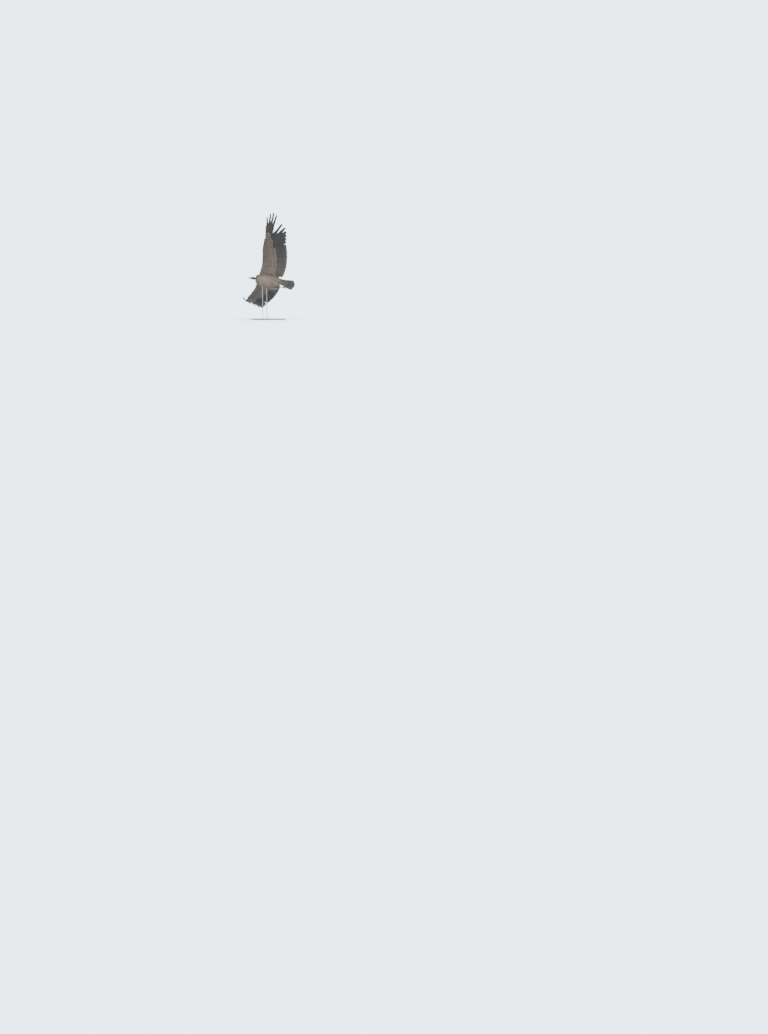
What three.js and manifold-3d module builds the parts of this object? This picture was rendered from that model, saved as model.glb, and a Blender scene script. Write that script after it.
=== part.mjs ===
// A young Andean condor in brown plumage, soaring in a banked turn on a display stand.
// Lengths are in millimetres and angles in degrees. The bird is built in its own frame,
// +X forward, +Y to its left and +Z up. A turned group then banks it over the stand.
// The origin is the middle of the stand's underside, and the bird heads along -Y.

import * as THREE from "three";
import { mergeVertices } from "three/addons/utils/BufferGeometryUtils.js";
import Module from "manifold-3d";

const wasm = await Module();
wasm.setup();

// Driving dimensions
const GAP = 0.3; // left between nodes that meet
const LEFT = 1;
const RIGHT = -1;

const POSE = { bank: 45.3, pitch: 7, heading: -90, height: 800 };

const STAND = {
  length: 640,
  width: 520,
  thick: 18,
  edgeRound: 40,
  rodRadius: 7,
  rodSides: 12,
  rods: { front: 100, rear: 14 },
};

const WING = {
  shoulder: 60,
  shoulderDrop: -22,
  wrist: 645,
  bendFrom: 550,
  bendTo: 1500,
  bendPower: 1.6,
  bendSlant: 0.78,
};

const WING_POSE = {
  left: { rise: 13.5, tipRise: 30, forward: 3, twist: 3 },
  right: { rise: 12, tipRise: 60, forward: 3, twist: -1.5 },
};

const PRIMARY = { baseFront: [145, 880], baseRear: [115, 660], thick: 0.9, shaft: 1.7, tilt: 0.14 };
const PRIMARY_TIPS = [
  { tip: [-250, 880], width: 84, finger: 1, curl: 0 },
  { tip: [-243, 950], width: 84, finger: 1, curl: 0 },
  { tip: [-235, 1020], width: 84, finger: 1, curl: 2 },
  { tip: [-225, 1090], width: 82, finger: 0.92, curl: 6 },
  { tip: [-195, 1165], width: 80, finger: 0.72, curl: 12 },
  { tip: [-130, 1235], width: 78, finger: 0.6, curl: 18 },
  { tip: [-10, 1385], width: 76, finger: 0.56, curl: 26 },
  { tip: [45, 1430], width: 74, finger: 0.55, curl: 36 },
  { tip: [105, 1400], width: 72, finger: 0.55, curl: 46 },
  { tip: [165, 1330], width: 66, finger: 0.58, curl: 56 },
];

const SECONDARY = {
  count: 13,
  base: [630, 122],
  tip: [810, 116],
  elbowAfter: 7,
  width: 94,
  thick: 1,
  tilt: 0.1,
};
const COVERT = {
  thick: 0.8,
  width: 62,
  height: 9,
  sunk: 6,
  over: [0.06, 0.3, 0.5, 0.56],
  under: [0.06, 0.3, 0.42, 0.48],
  handWidth: 0.8,
  handOver: [0.02, 0.17, 0.32, 0.36],
  handUnder: [0.02, 0.17, 0.27, 0.31],
};
const ALULA = { length: 150, width: 36 };

const TORSO = { front: 206, tailCut: -262, sides: 18 };
const HEAD = { at: [292, 0, -30], roll: -18, pitchDown: 6, sides: 16 };
const NECK = { from: [196, 0, -38], radius: 33, headRadius: 24, sides: 16 };
const EYE = { radius: 7, at: [4, 22.5, 9], facets: [12, 8], lidTube: 1.5, lidRadius: 6.8 };
const TAIL = { base: -236, length: 335, outer: 300, fan: 16.5, droop: 13, pairs: 6, width: 60, arch: 14 };
const RUFF = { locks: 13, width: 43, tilt: 0.14 };
const LEG = { heel: [-212, 58, -158], foot: [-328, 52, -112], tarsus: 9.5 };

// Materials
const brown = new THREE.MeshStandardMaterial({ color: "#5b4a3c", roughness: 0.85, metalness: 0 });
const dark = new THREE.MeshStandardMaterial({ color: "#2a2623", roughness: 0.7, metalness: 0 });
const ruffBrown = new THREE.MeshStandardMaterial({ color: "#6b5847", roughness: 0.95, metalness: 0 });
const skin = new THREE.MeshStandardMaterial({ color: "#2e2a2a", roughness: 0.7, metalness: 0 });
const horn = new THREE.MeshStandardMaterial({ color: "#1f1c1b", roughness: 0.45, metalness: 0 });
const scale = new THREE.MeshStandardMaterial({ color: "#56524e", roughness: 0.75, metalness: 0 });
const iris = new THREE.MeshStandardMaterial({ color: "#3a2417", roughness: 0.1, metalness: 0 });
const steel = new THREE.MeshStandardMaterial({ color: "#8d9093", roughness: 0.35, metalness: 0.9 });
const plinth = new THREE.MeshStandardMaterial({ color: "#2b2a29", roughness: 0.5, metalness: 0 });

// Small helpers
const rad = THREE.MathUtils.degToRad;
const mix = THREE.MathUtils.lerp;
const clamp = THREE.MathUtils.clamp;
const smooth = (t) => THREE.MathUtils.smoothstep(t, 0, 1);
const vec = (x, y, z) => new THREE.Vector3(x, y, z);
const spread = (count, at) =>
  Array.from({ length: count }, (_, i) => at(count > 1 ? i / (count - 1) : 0, i));

// A smooth function through a few [where, value] pairs, a cubic between each two of them.
function through(pairs) {
  const slope = (i) => {
    const a = pairs[Math.max(i - 1, 0)];
    const b = pairs[Math.min(i + 1, pairs.length - 1)];
    return (b[1] - a[1]) / (b[0] - a[0]);
  };
  return (where) => {
    const x = clamp(where, pairs[0][0], pairs.at(-1)[0]);
    let i = 0;
    while (i < pairs.length - 2 && x > pairs[i + 1][0]) i += 1;
    const [x0, y0] = pairs[i];
    const [x1, y1] = pairs[i + 1];
    const w = x1 - x0;
    const t = (x - x0) / w;
    const t2 = t * t;
    const t3 = t2 * t;
    const start = y0 * (2 * t3 - 3 * t2 + 1) + slope(i) * w * (t3 - 2 * t2 + t);
    return start + y1 * (3 * t2 - 2 * t3) + slope(i + 1) * w * (t3 - t2);
  };
}

// Solids and meshes
function solidOf(geometry) {
  const bare = geometry.clone();
  for (const name of Object.keys(bare.attributes)) {
    if (name !== "position") bare.deleteAttribute(name);
  }
  const merged = mergeVertices(bare, 1e-3);
  const made = new wasm.Manifold(
    new wasm.Mesh({
      numProp: 3,
      vertProperties: new Float32Array(merged.attributes.position.array),
      triVerts: new Uint32Array(merged.index.array),
    }),
  );
  return made;
}

function geometryOf(solid) {
  const { numProp, vertProperties, triVerts, numVert } = solid.getMesh();
  const position = new Float32Array(numVert * 3);
  for (let i = 0; i < numVert; i += 1) {
    position.set(vertProperties.subarray(i * numProp, i * numProp + 3), i * 3);
  }
  const geometry = new THREE.BufferGeometry();
  geometry.setAttribute("position", new THREE.BufferAttribute(position, 3));
  geometry.setIndex(new THREE.BufferAttribute(new Uint32Array(triVerts), 1));
  geometry.computeVertexNormals();
  return geometry;
}

// The largest closed surface of a solid, with the slivers that a join leaves taken out.
const FINEST = 0.08;
function largest(solid) {
  const pieces = solid.simplify(FINEST).decompose();
  return pieces.reduce((best, piece) => (piece.volume() > best.volume() ? piece : best));
}

const union = (solids) => wasm.Manifold.union(solids);

// A closed skin over rings of equal count, each end closed by a fan about the ring's middle.
function loft(rings) {
  const sides = rings[0].length;
  const points = rings.flat();
  const middle = (ring) => ring.reduce((sum, p) => sum.add(p), vec(0, 0, 0)).divideScalar(sides);
  const first = points.push(middle(rings[0])) - 1;
  const last = points.push(middle(rings.at(-1))) - 1;
  const index = [];
  for (let r = 0; r < rings.length - 1; r += 1) {
    for (let i = 0; i < sides; i += 1) {
      const a = r * sides + i;
      const b = r * sides + ((i + 1) % sides);
      index.push(a, b, b + sides, a, b + sides, a + sides);
    }
  }
  const end = (rings.length - 1) * sides;
  for (let i = 0; i < sides; i += 1) {
    const j = (i + 1) % sides;
    index.push(first, j, i, last, end + i, end + j);
  }
  const geometry = new THREE.BufferGeometry();
  const numbers = points.flatMap((p) => [p.x, p.y, p.z]);
  geometry.setAttribute("position", new THREE.Float32BufferAttribute(numbers, 3));
  geometry.setIndex(index);
  const made = solidOf(geometry);
  if (made.volume() > 0) return made;
  geometry.setIndex(index.reverse());
  return solidOf(geometry);
}

// A closed thin sheet between two grids of points, split into triangles alike on both faces.
function sheet(top, bottom) {
  const rows = top.length;
  const columns = top[0].length;
  const points = [...top.flat(), ...bottom.flat()];
  const under = rows * columns;
  const index = [];
  for (let r = 0; r < rows - 1; r += 1) {
    for (let c = 0; c < columns - 1; c += 1) {
      const a = r * columns + c;
      const b = a + 1;
      const d = a + columns;
      const e = d + 1;
      index.push(a, b, e, a, e, d);
      index.push(under + a, under + e, under + b, under + a, under + d, under + e);
    }
  }
  const rim = [];
  for (let c = 0; c < columns - 1; c += 1) rim.push(c);
  for (let r = 0; r < rows - 1; r += 1) rim.push(r * columns + columns - 1);
  for (let c = columns - 1; c > 0; c -= 1) rim.push((rows - 1) * columns + c);
  for (let r = rows - 1; r > 0; r -= 1) rim.push(r * columns);
  rim.forEach((a, i) => {
    const b = rim[(i + 1) % rim.length];
    index.push(a, under + b, b, a, under + a, under + b);
  });
  const geometry = new THREE.BufferGeometry();
  const numbers = points.flatMap((p) => [p.x, p.y, p.z]);
  geometry.setAttribute("position", new THREE.Float32BufferAttribute(numbers, 3));
  geometry.setIndex(index);
  const made = solidOf(geometry);
  if (made.volume() > 0) return made;
  geometry.setIndex(index.reverse());
  return solidOf(geometry);
}

// One vane on a surface at(x, s, height). Its shaft runs from root to tip in the plan, each of
// its rows gives where, half width and height, and its tilt lifts the side away from the body.
function vane(at, { root, tip, rows, tilt, thick, shaft }) {
  const along = [tip[0] - root[0], tip[1] - root[1]];
  const length = Math.hypot(...along);
  const across = [along[1] / length, -along[0] / length];
  const sides = shaft ? [-1, 0, 1] : [-1, 1];
  const layer = (face) =>
    rows.map(([t, half, height]) =>
      sides.map((v) => {
        const off = v * half;
        const x = root[0] + along[0] * t + across[0] * off;
        const s = root[1] + along[1] * t + across[1] * off;
        const body = v === 0 ? shaft : thick;
        return at(x, s, height + tilt * off + (face * body) / 2);
      }),
    );
  return sheet(layer(1), layer(-1));
}

// A round tube along a list of points, with a radius at each and a ring square to the path.
function tube(points, radii, sides = 8) {
  const whole = points.at(-1).clone().sub(points[0]).normalize();
  const up = Math.abs(whole.z) > 0.7 ? vec(1, 0, 0) : vec(0, 0, 1);
  const rings = points.map((point, i) => {
    const before = points[Math.max(i - 1, 0)];
    const after = points[Math.min(i + 1, points.length - 1)];
    const along = after.clone().sub(before).normalize();
    const side = up.clone().cross(along).normalize();
    const over = along.clone().cross(side);
    return spread(sides + 1, (t) => t * 2 * Math.PI)
      .slice(0, sides)
      .map((a) =>
        point
          .clone()
          .addScaledVector(side, Math.cos(a) * radii[i])
          .addScaledVector(over, Math.sin(a) * radii[i]),
      );
  });
  return loft(rings);
}

// A large block whose one face passes through `point`, and which lies on the side of `normal`.
const BLOCK = 4000;
function halfSpace(point, normal) {
  const block = new THREE.BoxGeometry(BLOCK, BLOCK, BLOCK);
  block.translate(0, 0, BLOCK / 2);
  const turn = new THREE.Quaternion().setFromUnitVectors(vec(0, 0, 1), normal.clone().normalize());
  block.applyQuaternion(turn);
  block.translate(point.x, point.y, point.z);
  return solidOf(block);
}

// Torso: rings across X, each an oval with its own top, bottom and half width.
const torsoHalf = through([
  [-300, 42], [-250, 72], [-150, 114], [-50, 134], [50, 132], [150, 100], [188, 74], [206, 46],
]);
const torsoTop = through([
  [-300, 8], [-250, 22], [-150, 42], [-50, 52], [50, 52], [150, 38], [188, 18], [206, -4],
]);
const torsoBottom = through([
  [-300, -58],
  [-250, -106],
  [-150, -168],
  [-50, -196],
  [50, -190],
  [150, -150],
  [188, -108],
  [206, -74],
]);

function torsoRing(x, grow) {
  const half = torsoHalf(x) + grow;
  const top = torsoTop(x) + grow;
  const bottom = torsoBottom(x) - grow;
  const widest = mix(bottom, top, 0.62);
  return spread(TORSO.sides + 1, (t) => t * 2 * Math.PI)
    .slice(0, TORSO.sides)
    .map((a) => {
      const lift = Math.sin(a) > 0 ? top - widest : widest - bottom;
      return vec(x, half * Math.cos(a), widest + lift * Math.sin(a));
    });
}

const TORSO_AT = [-300, -262, -215, -160, -100, -40, 20, 80, 125, 160, 188, 206];

function torsoSolid(grow = 0) {
  const rings = TORSO_AT.map((x) => torsoRing(x, grow));
  for (const p of rings.at(-1)) p.x += grow;
  const whole = loft(rings);
  return whole.intersect(halfSpace(vec(TORSO.tailCut - grow, 0, 0), vec(1, 0, 0)));
}

// Wing plan, on the flat: x forward and s outward along the wing, before it is bent upward.
const leadingEdge = through([
  [40, 176], [120, 173], [300, 152], [480, 165], [620, 185], [720, 188], [885, 180],
]);
const trailingEdge = through([
  [40, -270], [160, -318], [300, -334], [420, -334], [620, -310], [800, -262], [940, -230],
]);
const coreChord = through([
  [40, 360], [160, 310], [300, 240], [480, 165], [620, 120], [720, 85], [885, 45],
]);
const coreHalf = through([[40, 30], [160, 25], [300, 20], [480, 16], [620, 13], [720, 9.5], [885, 5]]);
const camberRise = through([[40, 16], [300, 22], [620, 18], [900, 8], [1450, 2]]);
const planChord = through([[40, 455], [420, 500], [800, 450], [1450, 400]]);

// The wing's bent surface for one side, as a function of the plan and a height over it. The
// upward bend grows along the span, and sooner at the leading edge. Its lines along the span
// are summed in short steps at a few places fore and aft, and read off between those.
const SPAN_STEP = 10;
const SPAN_STEPS = 165;
const COLUMN_STEP = 100;
const COLUMNS = [-500, -400, -300, -200, -100, 0, 100, 200, 300];

function wingSurface({ rise, tipRise, forward, twist }) {
  const bendAngle = (x, s) => {
    const slant = WING.bendSlant * x * clamp((s - 450) / 350, 0, 1);
    const t = clamp((s + slant - WING.bendFrom) / (WING.bendTo - WING.bendFrom), 0, 1.1);
    return rad(rise + tipRise * t ** WING.bendPower);
  };
  const lines = COLUMNS.map((x) => {
    const line = [[0, WING.shoulderDrop]];
    for (let i = 0; i < SPAN_STEPS; i += 1) {
      const [y, z] = line[i];
      const a = bendAngle(x, (i + 0.5) * SPAN_STEP);
      line.push([y + Math.cos(a) * SPAN_STEP, z + Math.sin(a) * SPAN_STEP]);
    }
    return line;
  });
  const turn = rad(forward);
  return (x, s, h) => {
    const column = clamp((x - COLUMNS[0]) / COLUMN_STEP, 0, COLUMNS.length - 1.001);
    const step = clamp(s / SPAN_STEP, 0, SPAN_STEPS - 0.001);
    const i = Math.floor(column);
    const j = Math.floor(step);
    const read = (k) => {
      const fore = mix(lines[i][j][k], lines[i + 1][j][k], column - i);
      const aft = mix(lines[i][j + 1][k], lines[i + 1][j + 1][k], column - i);
      return mix(fore, aft, step - j);
    };
    const c = clamp((leadingEdge(s) - x) / planChord(s), -0.1, 1.12);
    const over = h + camberRise(s) * 4 * c * (1 - c);
    const tw = rad(twist) * clamp(s / 800, 0, 1.5);
    const lift = over * Math.cos(tw) + (x - 50) * Math.sin(tw);
    const ahead = 50 + (x - 50) * Math.cos(tw) - over * Math.sin(tw);
    const a = bendAngle(x, s);
    const out = read(0) - Math.sin(a) * lift - WING.shoulder;
    return vec(
      ahead * Math.cos(turn) + out * Math.sin(turn),
      WING.shoulder + out * Math.cos(turn) - ahead * Math.sin(turn),
      read(1) + Math.cos(a) * lift,
    );
  };
}

// The fleshy wing: half its thickness is a share of coreHalf, with a blunt rear edge.
const section = (c) => 2 * Math.sqrt(c) * (1 - c) ** 0.6 + 0.38 * c;
const CORE_C = [0.05, 0.3, 0.68, 1];
const CORE_S = [40, 120, 220, 330, 440, 540, 640, 720, 800, 885];

function wingCore(at) {
  const rings = CORE_S.map((s) => {
    const point = (c, face) => at(leadingEdge(s) - c * coreChord(s), s, face * coreHalf(s) * section(c));
    const over = CORE_C.map((c) => point(c, 1));
    const under = CORE_C.toReversed().map((c) => point(c, -1));
    return [point(0, 1), ...over, ...under];
  });
  return loft(rings);
}

// The ten primaries, from the innermost out. The outer ones narrow into fingers that curl up.
const primaryRoot = (i) => [0, 1].map((k) => mix(PRIMARY.baseRear[k], PRIMARY.baseFront[k], i / 9));

function primary(at, i) {
  const { tip, width, finger, curl } = PRIMARY_TIPS[i];
  const half = width / 2;
  const narrow = half * finger;
  const rise = (t) => curl * t * t;
  return vane(at, {
    root: primaryRoot(i),
    tip,
    rows: [
      [0, 4, 0],
      [0.17, half * 0.62, rise(0.17)],
      [0.34, half * 0.92, rise(0.34)],
      [0.5, half * 0.98, rise(0.5)],
      [0.64, narrow, rise(0.64)],
      [0.9, narrow * 0.86, rise(0.9)],
      [1, narrow * 0.25, rise(1)],
    ],
    tilt: PRIMARY.tilt,
    thick: PRIMARY.thick,
    shaft: PRIMARY.shaft,
  });
}

// The secondaries, from the wrist in to the body.
const secondaryAt = (i) => i / (SECONDARY.count - 1);

function secondaryRoot(i) {
  const s = mix(...SECONDARY.base, secondaryAt(i));
  return [leadingEdge(s) - 0.5 * coreChord(s), s];
}

function secondaryTip(i) {
  const s = mix(...SECONDARY.tip, secondaryAt(i) ** 0.95);
  return [trailingEdge(s), s];
}

function secondary(at, i) {
  const half = SECONDARY.width / 2;
  return vane(at, {
    root: secondaryRoot(i),
    tip: secondaryTip(i),
    rows: [
      [0, 4, 0],
      [0.3, half * 0.9, 0],
      [0.6, half, 0],
      [0.92, half * 0.75, 0],
      [1, half * 0.25, 0],
    ],
    tilt: SECONDARY.tilt,
    thick: SECONDARY.thick,
    shaft: 0,
  });
}

// A greater covert over or under one flight feather, rooted in the fleshy wing. Its rows stand
// where the flight feather's do, as shares of that feather's length.
function covert(at, root, tip, { shares, face, width, sunk, height, tilt, curl = 0 }) {
  const point = (t) => [mix(root[0], tip[0], t), mix(root[1], tip[1], t)];
  const [first, last] = [shares[0], shares.at(-1)];
  const halves = [0.25, 0.9, 0.85, 0.3].map((share) => (share * width) / 2);
  const heights = [sunk, height, height, height - 0.8];
  return vane(at, {
    root: point(first),
    tip: point(last),
    rows: shares.map((t, i) => [(t - first) / (last - first), halves[i], face * heights[i] + curl * t * t]),
    tilt,
    thick: COVERT.thick,
    shaft: 0,
  });
}

function alula(at, i) {
  const s = WING.wrist + 8 + 14 * i;
  const root = [leadingEdge(s) - 22 - 10 * i, s];
  const tip = [leadingEdge(s + ALULA.length) - 6 - 16 * i, s + ALULA.length - 14 * i];
  const half = ALULA.width / 2;
  return vane(at, {
    root,
    tip,
    rows: [
      [0, half * 0.4, 4],
      [0.4, half, 12 - 3 * i],
      [0.85, half * 0.7, 12 - 3 * i],
      [1, half * 0.25, 12 - 3 * i],
    ],
    tilt: 0,
    thick: 1,
    shaft: 0,
  });
}

// Where the wing is parted: a plane through two points of the plan that stands on its surface.
function partingPlane(at, front, rear) {
  const a = at(...front, 0);
  const b = at(...rear, 0);
  const up = at(...front, 100).sub(a);
  const normal = b.clone().sub(a).cross(up).normalize();
  if (normal.y < 0) normal.negate();
  return { at: a, normal };
}

const halfway = (a, b) => [(a[0] + b[0]) / 2, (a[1] + b[1]) / 2];

function outside({ at, normal }) {
  return halfSpace(at.clone().addScaledVector(normal, GAP / 2), normal);
}

function inside({ at, normal }) {
  return halfSpace(at.clone().addScaledVector(normal, -GAP / 2), normal.clone().negate());
}

// One side's three wing nodes. The right is made like the left and then mirrored.
function wingNodes(side) {
  const at = wingSurface(side === LEFT ? WING_POSE.left : WING_POSE.right);
  const last = SECONDARY.elbowAfter;
  const wristCut = partingPlane(
    at,
    halfway(primaryRoot(0), secondaryRoot(0)),
    halfway(PRIMARY_TIPS[0].tip, secondaryTip(0)),
  );
  const elbowCut = partingPlane(
    at,
    halfway(secondaryRoot(last - 1), secondaryRoot(last)),
    halfway(secondaryTip(last - 1), secondaryTip(last)),
  );
  const core = wingCore(at);
  const hand = [core, alula(at, 0), alula(at, 1)];
  PRIMARY_TIPS.forEach(({ tip, width, curl }, i) => {
    const laid = { width: width * COVERT.handWidth, sunk: 2, curl };
    const over = { ...laid, face: 1, shares: COVERT.handOver, height: 9.5, tilt: PRIMARY.tilt };
    const under = { ...laid, face: -1, shares: COVERT.handUnder, height: 11, tilt: -PRIMARY.tilt };
    hand.push(primary(at, i));
    hand.push(covert(at, primaryRoot(i), tip, over));
    hand.push(covert(at, primaryRoot(i), tip, under));
  });
  const armPieces = (from, to) => {
    const pieces = [core];
    for (let i = from; i < to; i += 1) {
      const [root, tip] = [secondaryRoot(i), secondaryTip(i)];
      pieces.push(secondary(at, i));
      const laid = { width: COVERT.width, sunk: COVERT.sunk, height: COVERT.height, tilt: SECONDARY.tilt };
      pieces.push(covert(at, root, tip, { ...laid, face: 1, shares: COVERT.over }));
      pieces.push(covert(at, root, tip, { ...laid, face: -1, shares: COVERT.under }));
    }
    return union(pieces);
  };
  const turned = (solid) => (side === LEFT ? solid : solid.mirror([0, 1, 0]));
  const upper = turned(armPieces(last, SECONDARY.count).intersect(inside(elbowCut)));
  const fore = turned(armPieces(0, last).intersect(outside(elbowCut)).intersect(inside(wristCut)));
  const tipward = turned(union(hand).intersect(outside(wristCut)));
  return { upper: largest(upper.subtract(torsoSolid(GAP))), fore: largest(fore), hand: largest(tipward) };
}

// Tail: the fan lies on its own drooped plane, arched a little across.
function tailPoint(x, y, h) {
  const back = TAIL.base - x;
  const droop = rad(TAIL.droop);
  const over = h - TAIL.arch * (y / 130) ** 2;
  return vec(
    TAIL.base - back * Math.cos(droop) - over * Math.sin(droop),
    y,
    -16 - back * Math.sin(droop) + over * Math.cos(droop),
  );
}

const tailCoreHalf = through([[-210, 62], [-262, 60], [-300, 52], [-350, 34]]);
const tailCoreThick = through([[-210, 52], [-262, 44], [-300, 20], [-350, 4]]);

function tailCore() {
  const rings = [-210, -262, -285, -315, -350].map((x) =>
    spread(17, (t) => t * 2 * Math.PI)
      .slice(0, 16)
      .map((a) => {
        const lift = Math.sin(a) > 0 ? 22 : tailCoreThick(x);
        return tailPoint(x, tailCoreHalf(x) * Math.cos(a), Math.min(lift, tailCoreThick(x)) * Math.sin(a));
      }),
  );
  return loft(rings);
}

// Tail feathers lie in a fan, the middle pair on top and each next one a little under.
function tailVane(side, i) {
  const v = (i + 0.5) / TAIL.pairs;
  const angle = rad(TAIL.fan * v);
  const reach = mix(TAIL.length, TAIL.outer, v * v);
  const root = [TAIL.base - 20, 30 * v];
  const tip = [TAIL.base - reach * Math.cos(angle), 34 * v + reach * Math.sin(angle)];
  const half = TAIL.width / 2;
  const base = side === RIGHT ? -5 : 0;
  return vane((x, y, h) => tailPoint(x, side * y, h), {
    root,
    tip,
    rows: [
      [0, 4, base],
      [0.3, half * 0.7, base],
      [0.7, half, base],
      [0.94, half * 0.8, base],
      [1, half * 0.3, base],
    ],
    tilt: 0.12,
    thick: 0.9,
    shaft: 0,
  });
}

function tailCovert(side, i, face) {
  const y = 12 + 17 * i;
  const half = 20;
  const high = (face > 0 ? 9.5 : 14) - (side === RIGHT ? 2.5 * face : 0);
  return vane((x, s, h) => tailPoint(x, side * s, h), {
    root: [TAIL.base - 10, y * 0.75],
    tip: [TAIL.base - 165 + 8 * i, y * 1.35],
    rows: [
      [0, half * 0.4, face * 6],
      [0.4, half, face * high],
      [0.85, half * 0.8, face * (high - 1)],
      [1, half * 0.3, face * (high - 2)],
    ],
    tilt: 0.12,
    thick: 0.8,
    shaft: 0,
  });
}

function tailSolid() {
  const pieces = [tailCore()];
  for (const side of [LEFT, RIGHT]) {
    for (let i = 0; i < TAIL.pairs; i += 1) pieces.push(tailVane(side, i));
    for (let i = 0; i < 3; i += 1) {
      pieces.push(tailCovert(side, i, 1), tailCovert(side, i, -1));
    }
  }
  return largest(union(pieces).intersect(halfSpace(vec(TORSO.tailCut - GAP, 0, 0), vec(-1, 0, 0))));
}

// Head: rings across its own X, with the eyes' line at zero.
const headHalf = through([[-54, 23], [-34, 29], [-12, 30.5], [8, 28], [24, 22], [42, 15.5], [58, 12.5]]);
const headTop = through([[-54, 17], [-34, 27], [-12, 31], [8, 30], [24, 24], [42, 18.5], [58, 17]]);
const headBottom = through([[-54, -25], [-34, -29], [-12, -28], [8, -26], [24, -22], [42, -15], [58, -11]]);
const HEAD_AT = [-54, -42, -26, -8, 8, 22, 38, 58];

const headTurn = new THREE.Matrix4()
  .makeTranslation(...HEAD.at)
  .multiply(new THREE.Matrix4().makeRotationY(rad(HEAD.pitchDown)))
  .multiply(new THREE.Matrix4().makeRotationX(rad(HEAD.roll)));

const inHead = (x, y, z) => vec(x, y, z).applyMatrix4(headTurn);
const headCentre = (x) => (headTop(x) + headBottom(x)) / 2;

function headRing(x) {
  const half = headHalf(x);
  const tall = (headTop(x) - headBottom(x)) / 2;
  return spread(HEAD.sides + 1, (t) => t * 2 * Math.PI)
    .slice(0, HEAD.sides)
    .map((a) => {
      const narrow = Math.sin(a) < 0 ? 1 - 0.18 * Math.sin(a) ** 2 : 1;
      return inHead(x, half * Math.cos(a) * narrow, headCentre(x) + tall * Math.sin(a));
    });
}

function ball(at, radius, across = 10, down = 6) {
  const geometry = new THREE.SphereGeometry(radius, across, down);
  geometry.translate(at.x, at.y, at.z);
  return solidOf(geometry);
}

// The side of the head at x and z, in the head's own frame.
function headSide(x, z) {
  const tall = (headTop(x) - headBottom(x)) / 2;
  const up = clamp((z - headCentre(x)) / tall, -1, 1);
  const narrow = up < 0 ? 1 - 0.18 * up ** 2 : 1;
  return headHalf(x) * Math.sqrt(1 - up * up) * narrow;
}

function headSolid() {
  let head = loft(HEAD_AT.map((x) => headRing(x)));
  for (const side of [LEFT, RIGHT]) {
    const [x, y, z] = EYE.at;
    const lid = new THREE.TorusGeometry(EYE.lidRadius, EYE.lidTube, 5, 14);
    lid.scale(1.25, 0.85, 1);
    lid.rotateX(Math.PI / 2);
    lid.translate(x, side * (y + 3.6), z);
    lid.applyMatrix4(headTurn);
    head = head.add(solidOf(lid));
    head = head.subtract(ball(inHead(x, side * y, z), EYE.radius + GAP, ...EYE.facets));
    head = head.subtract(ball(inHead(-28, side * 30, -5), 5, 8, 5));
    const slot = (from, to, radius) => {
      const path = spread(3, (t) => {
        const at = [mix(from[0], to[0], t), mix(from[1], to[1], t)];
        return inHead(at[0], side * headSide(...at), at[1]);
      });
      return tube(path, path.map(() => radius), 5);
    };
    head = head.subtract(slot([44, 8], [53, 8], 2.4));
    head = head.subtract(slot([66, -1.6], [14, -7], 1.1));
  }
  return largest(head);
}

const eyeSolid = (side) => ball(inHead(EYE.at[0], side * EYE.at[1], EYE.at[2]), EYE.radius, ...EYE.facets);

// Bill: the upper half arches over and ends in a hook past the lower half's blunt tip.
const billTop = through([[58, 17], [70, 17.4], [82, 15], [92, 8], [99, -1], [103, -9]]);
const billEdge = through([[58, -1.5], [74, -1.8], [86, -2.6], [92, -6], [99, -13], [103, -15]]);
const billHalf = through([[58, 12.4], [70, 10.6], [82, 8], [92, 5.4], [99, 3], [103, 0.8]]);
const BILL = { start: 58 + GAP, lowerEnd: 88, edgeGap: 0.5 };

function billRing(x, top, bottom, half, sides) {
  return spread(sides + 1, (u) => u * 2 * Math.PI)
    .slice(0, sides)
    .map((a) => {
      const square = Math.sin(a) < 0 ? Math.sin(a) ** 3 : Math.sin(a);
      return inHead(x, half * Math.cos(a), (top + bottom) / 2 + ((top - bottom) / 2) * square);
    });
}

function upperBill() {
  const rings = [BILL.start, 66, 74, 82, 88, 93, 98, 101, 103].map((x) =>
    billRing(x, billTop(x), billEdge(x), billHalf(x), 12),
  );
  return largest(loft(rings));
}

function lowerBill() {
  const rings = spread(5, (t) => {
    const x = mix(BILL.start, BILL.lowerEnd, t);
    const top = billEdge(Math.min(x, 84)) - BILL.edgeGap - 1.2 * t;
    return billRing(x, top, mix(-10.8, -7.4, t ** 1.5), mix(10.4, 3.4, t ** 1.4), 10);
  });
  return largest(loft(rings));
}

// Neck: from inside the torso's front to the back of the head, cut clear of both.
function neckTube(grow = 0) {
  const back = inHead(-30, 0, headCentre(-30));
  const path = new THREE.CatmullRomCurve3([vec(150, 0, -50), vec(...NECK.from), inHead(-58, 0, -8), back]);
  const points = path.getPoints(8);
  const radii = points.map((_, i) => mix(NECK.radius, NECK.headRadius, smooth(i / 8)) + grow);
  return tube(points, radii, NECK.sides);
}

function neckSolid() {
  const nape = inHead(-54 - GAP, 0, 0);
  const back = inHead(-55 - GAP, 0, 0).sub(nape);
  return largest(neckTube().intersect(halfSpace(nape, back)).subtract(torsoSolid(GAP)));
}

// Ruff: a soft collar round the base of the neck, of overlapping locks on a low ring.
const ruffRadius = through([[0, 33], [0.25, 52], [0.5, 72], [0.75, 85], [1, 92]]);
const ruffAhead = through([[0, 219], [0.25, 226], [0.5, 221], [0.75, 207], [1, 187]]);

function ruffPoint(t, angle, h) {
  const grow = ruffRadius(t + 0.02) - ruffRadius(t - 0.02);
  const sink = ruffAhead(t - 0.02) - ruffAhead(t + 0.02);
  const slope = Math.atan2(grow, sink);
  const r = ruffRadius(t) + h * Math.cos(slope);
  const x = ruffAhead(t) + h * Math.sin(slope);
  return vec(x, r * Math.cos(angle), NECK.from[2] + r * Math.sin(angle));
}

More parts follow.
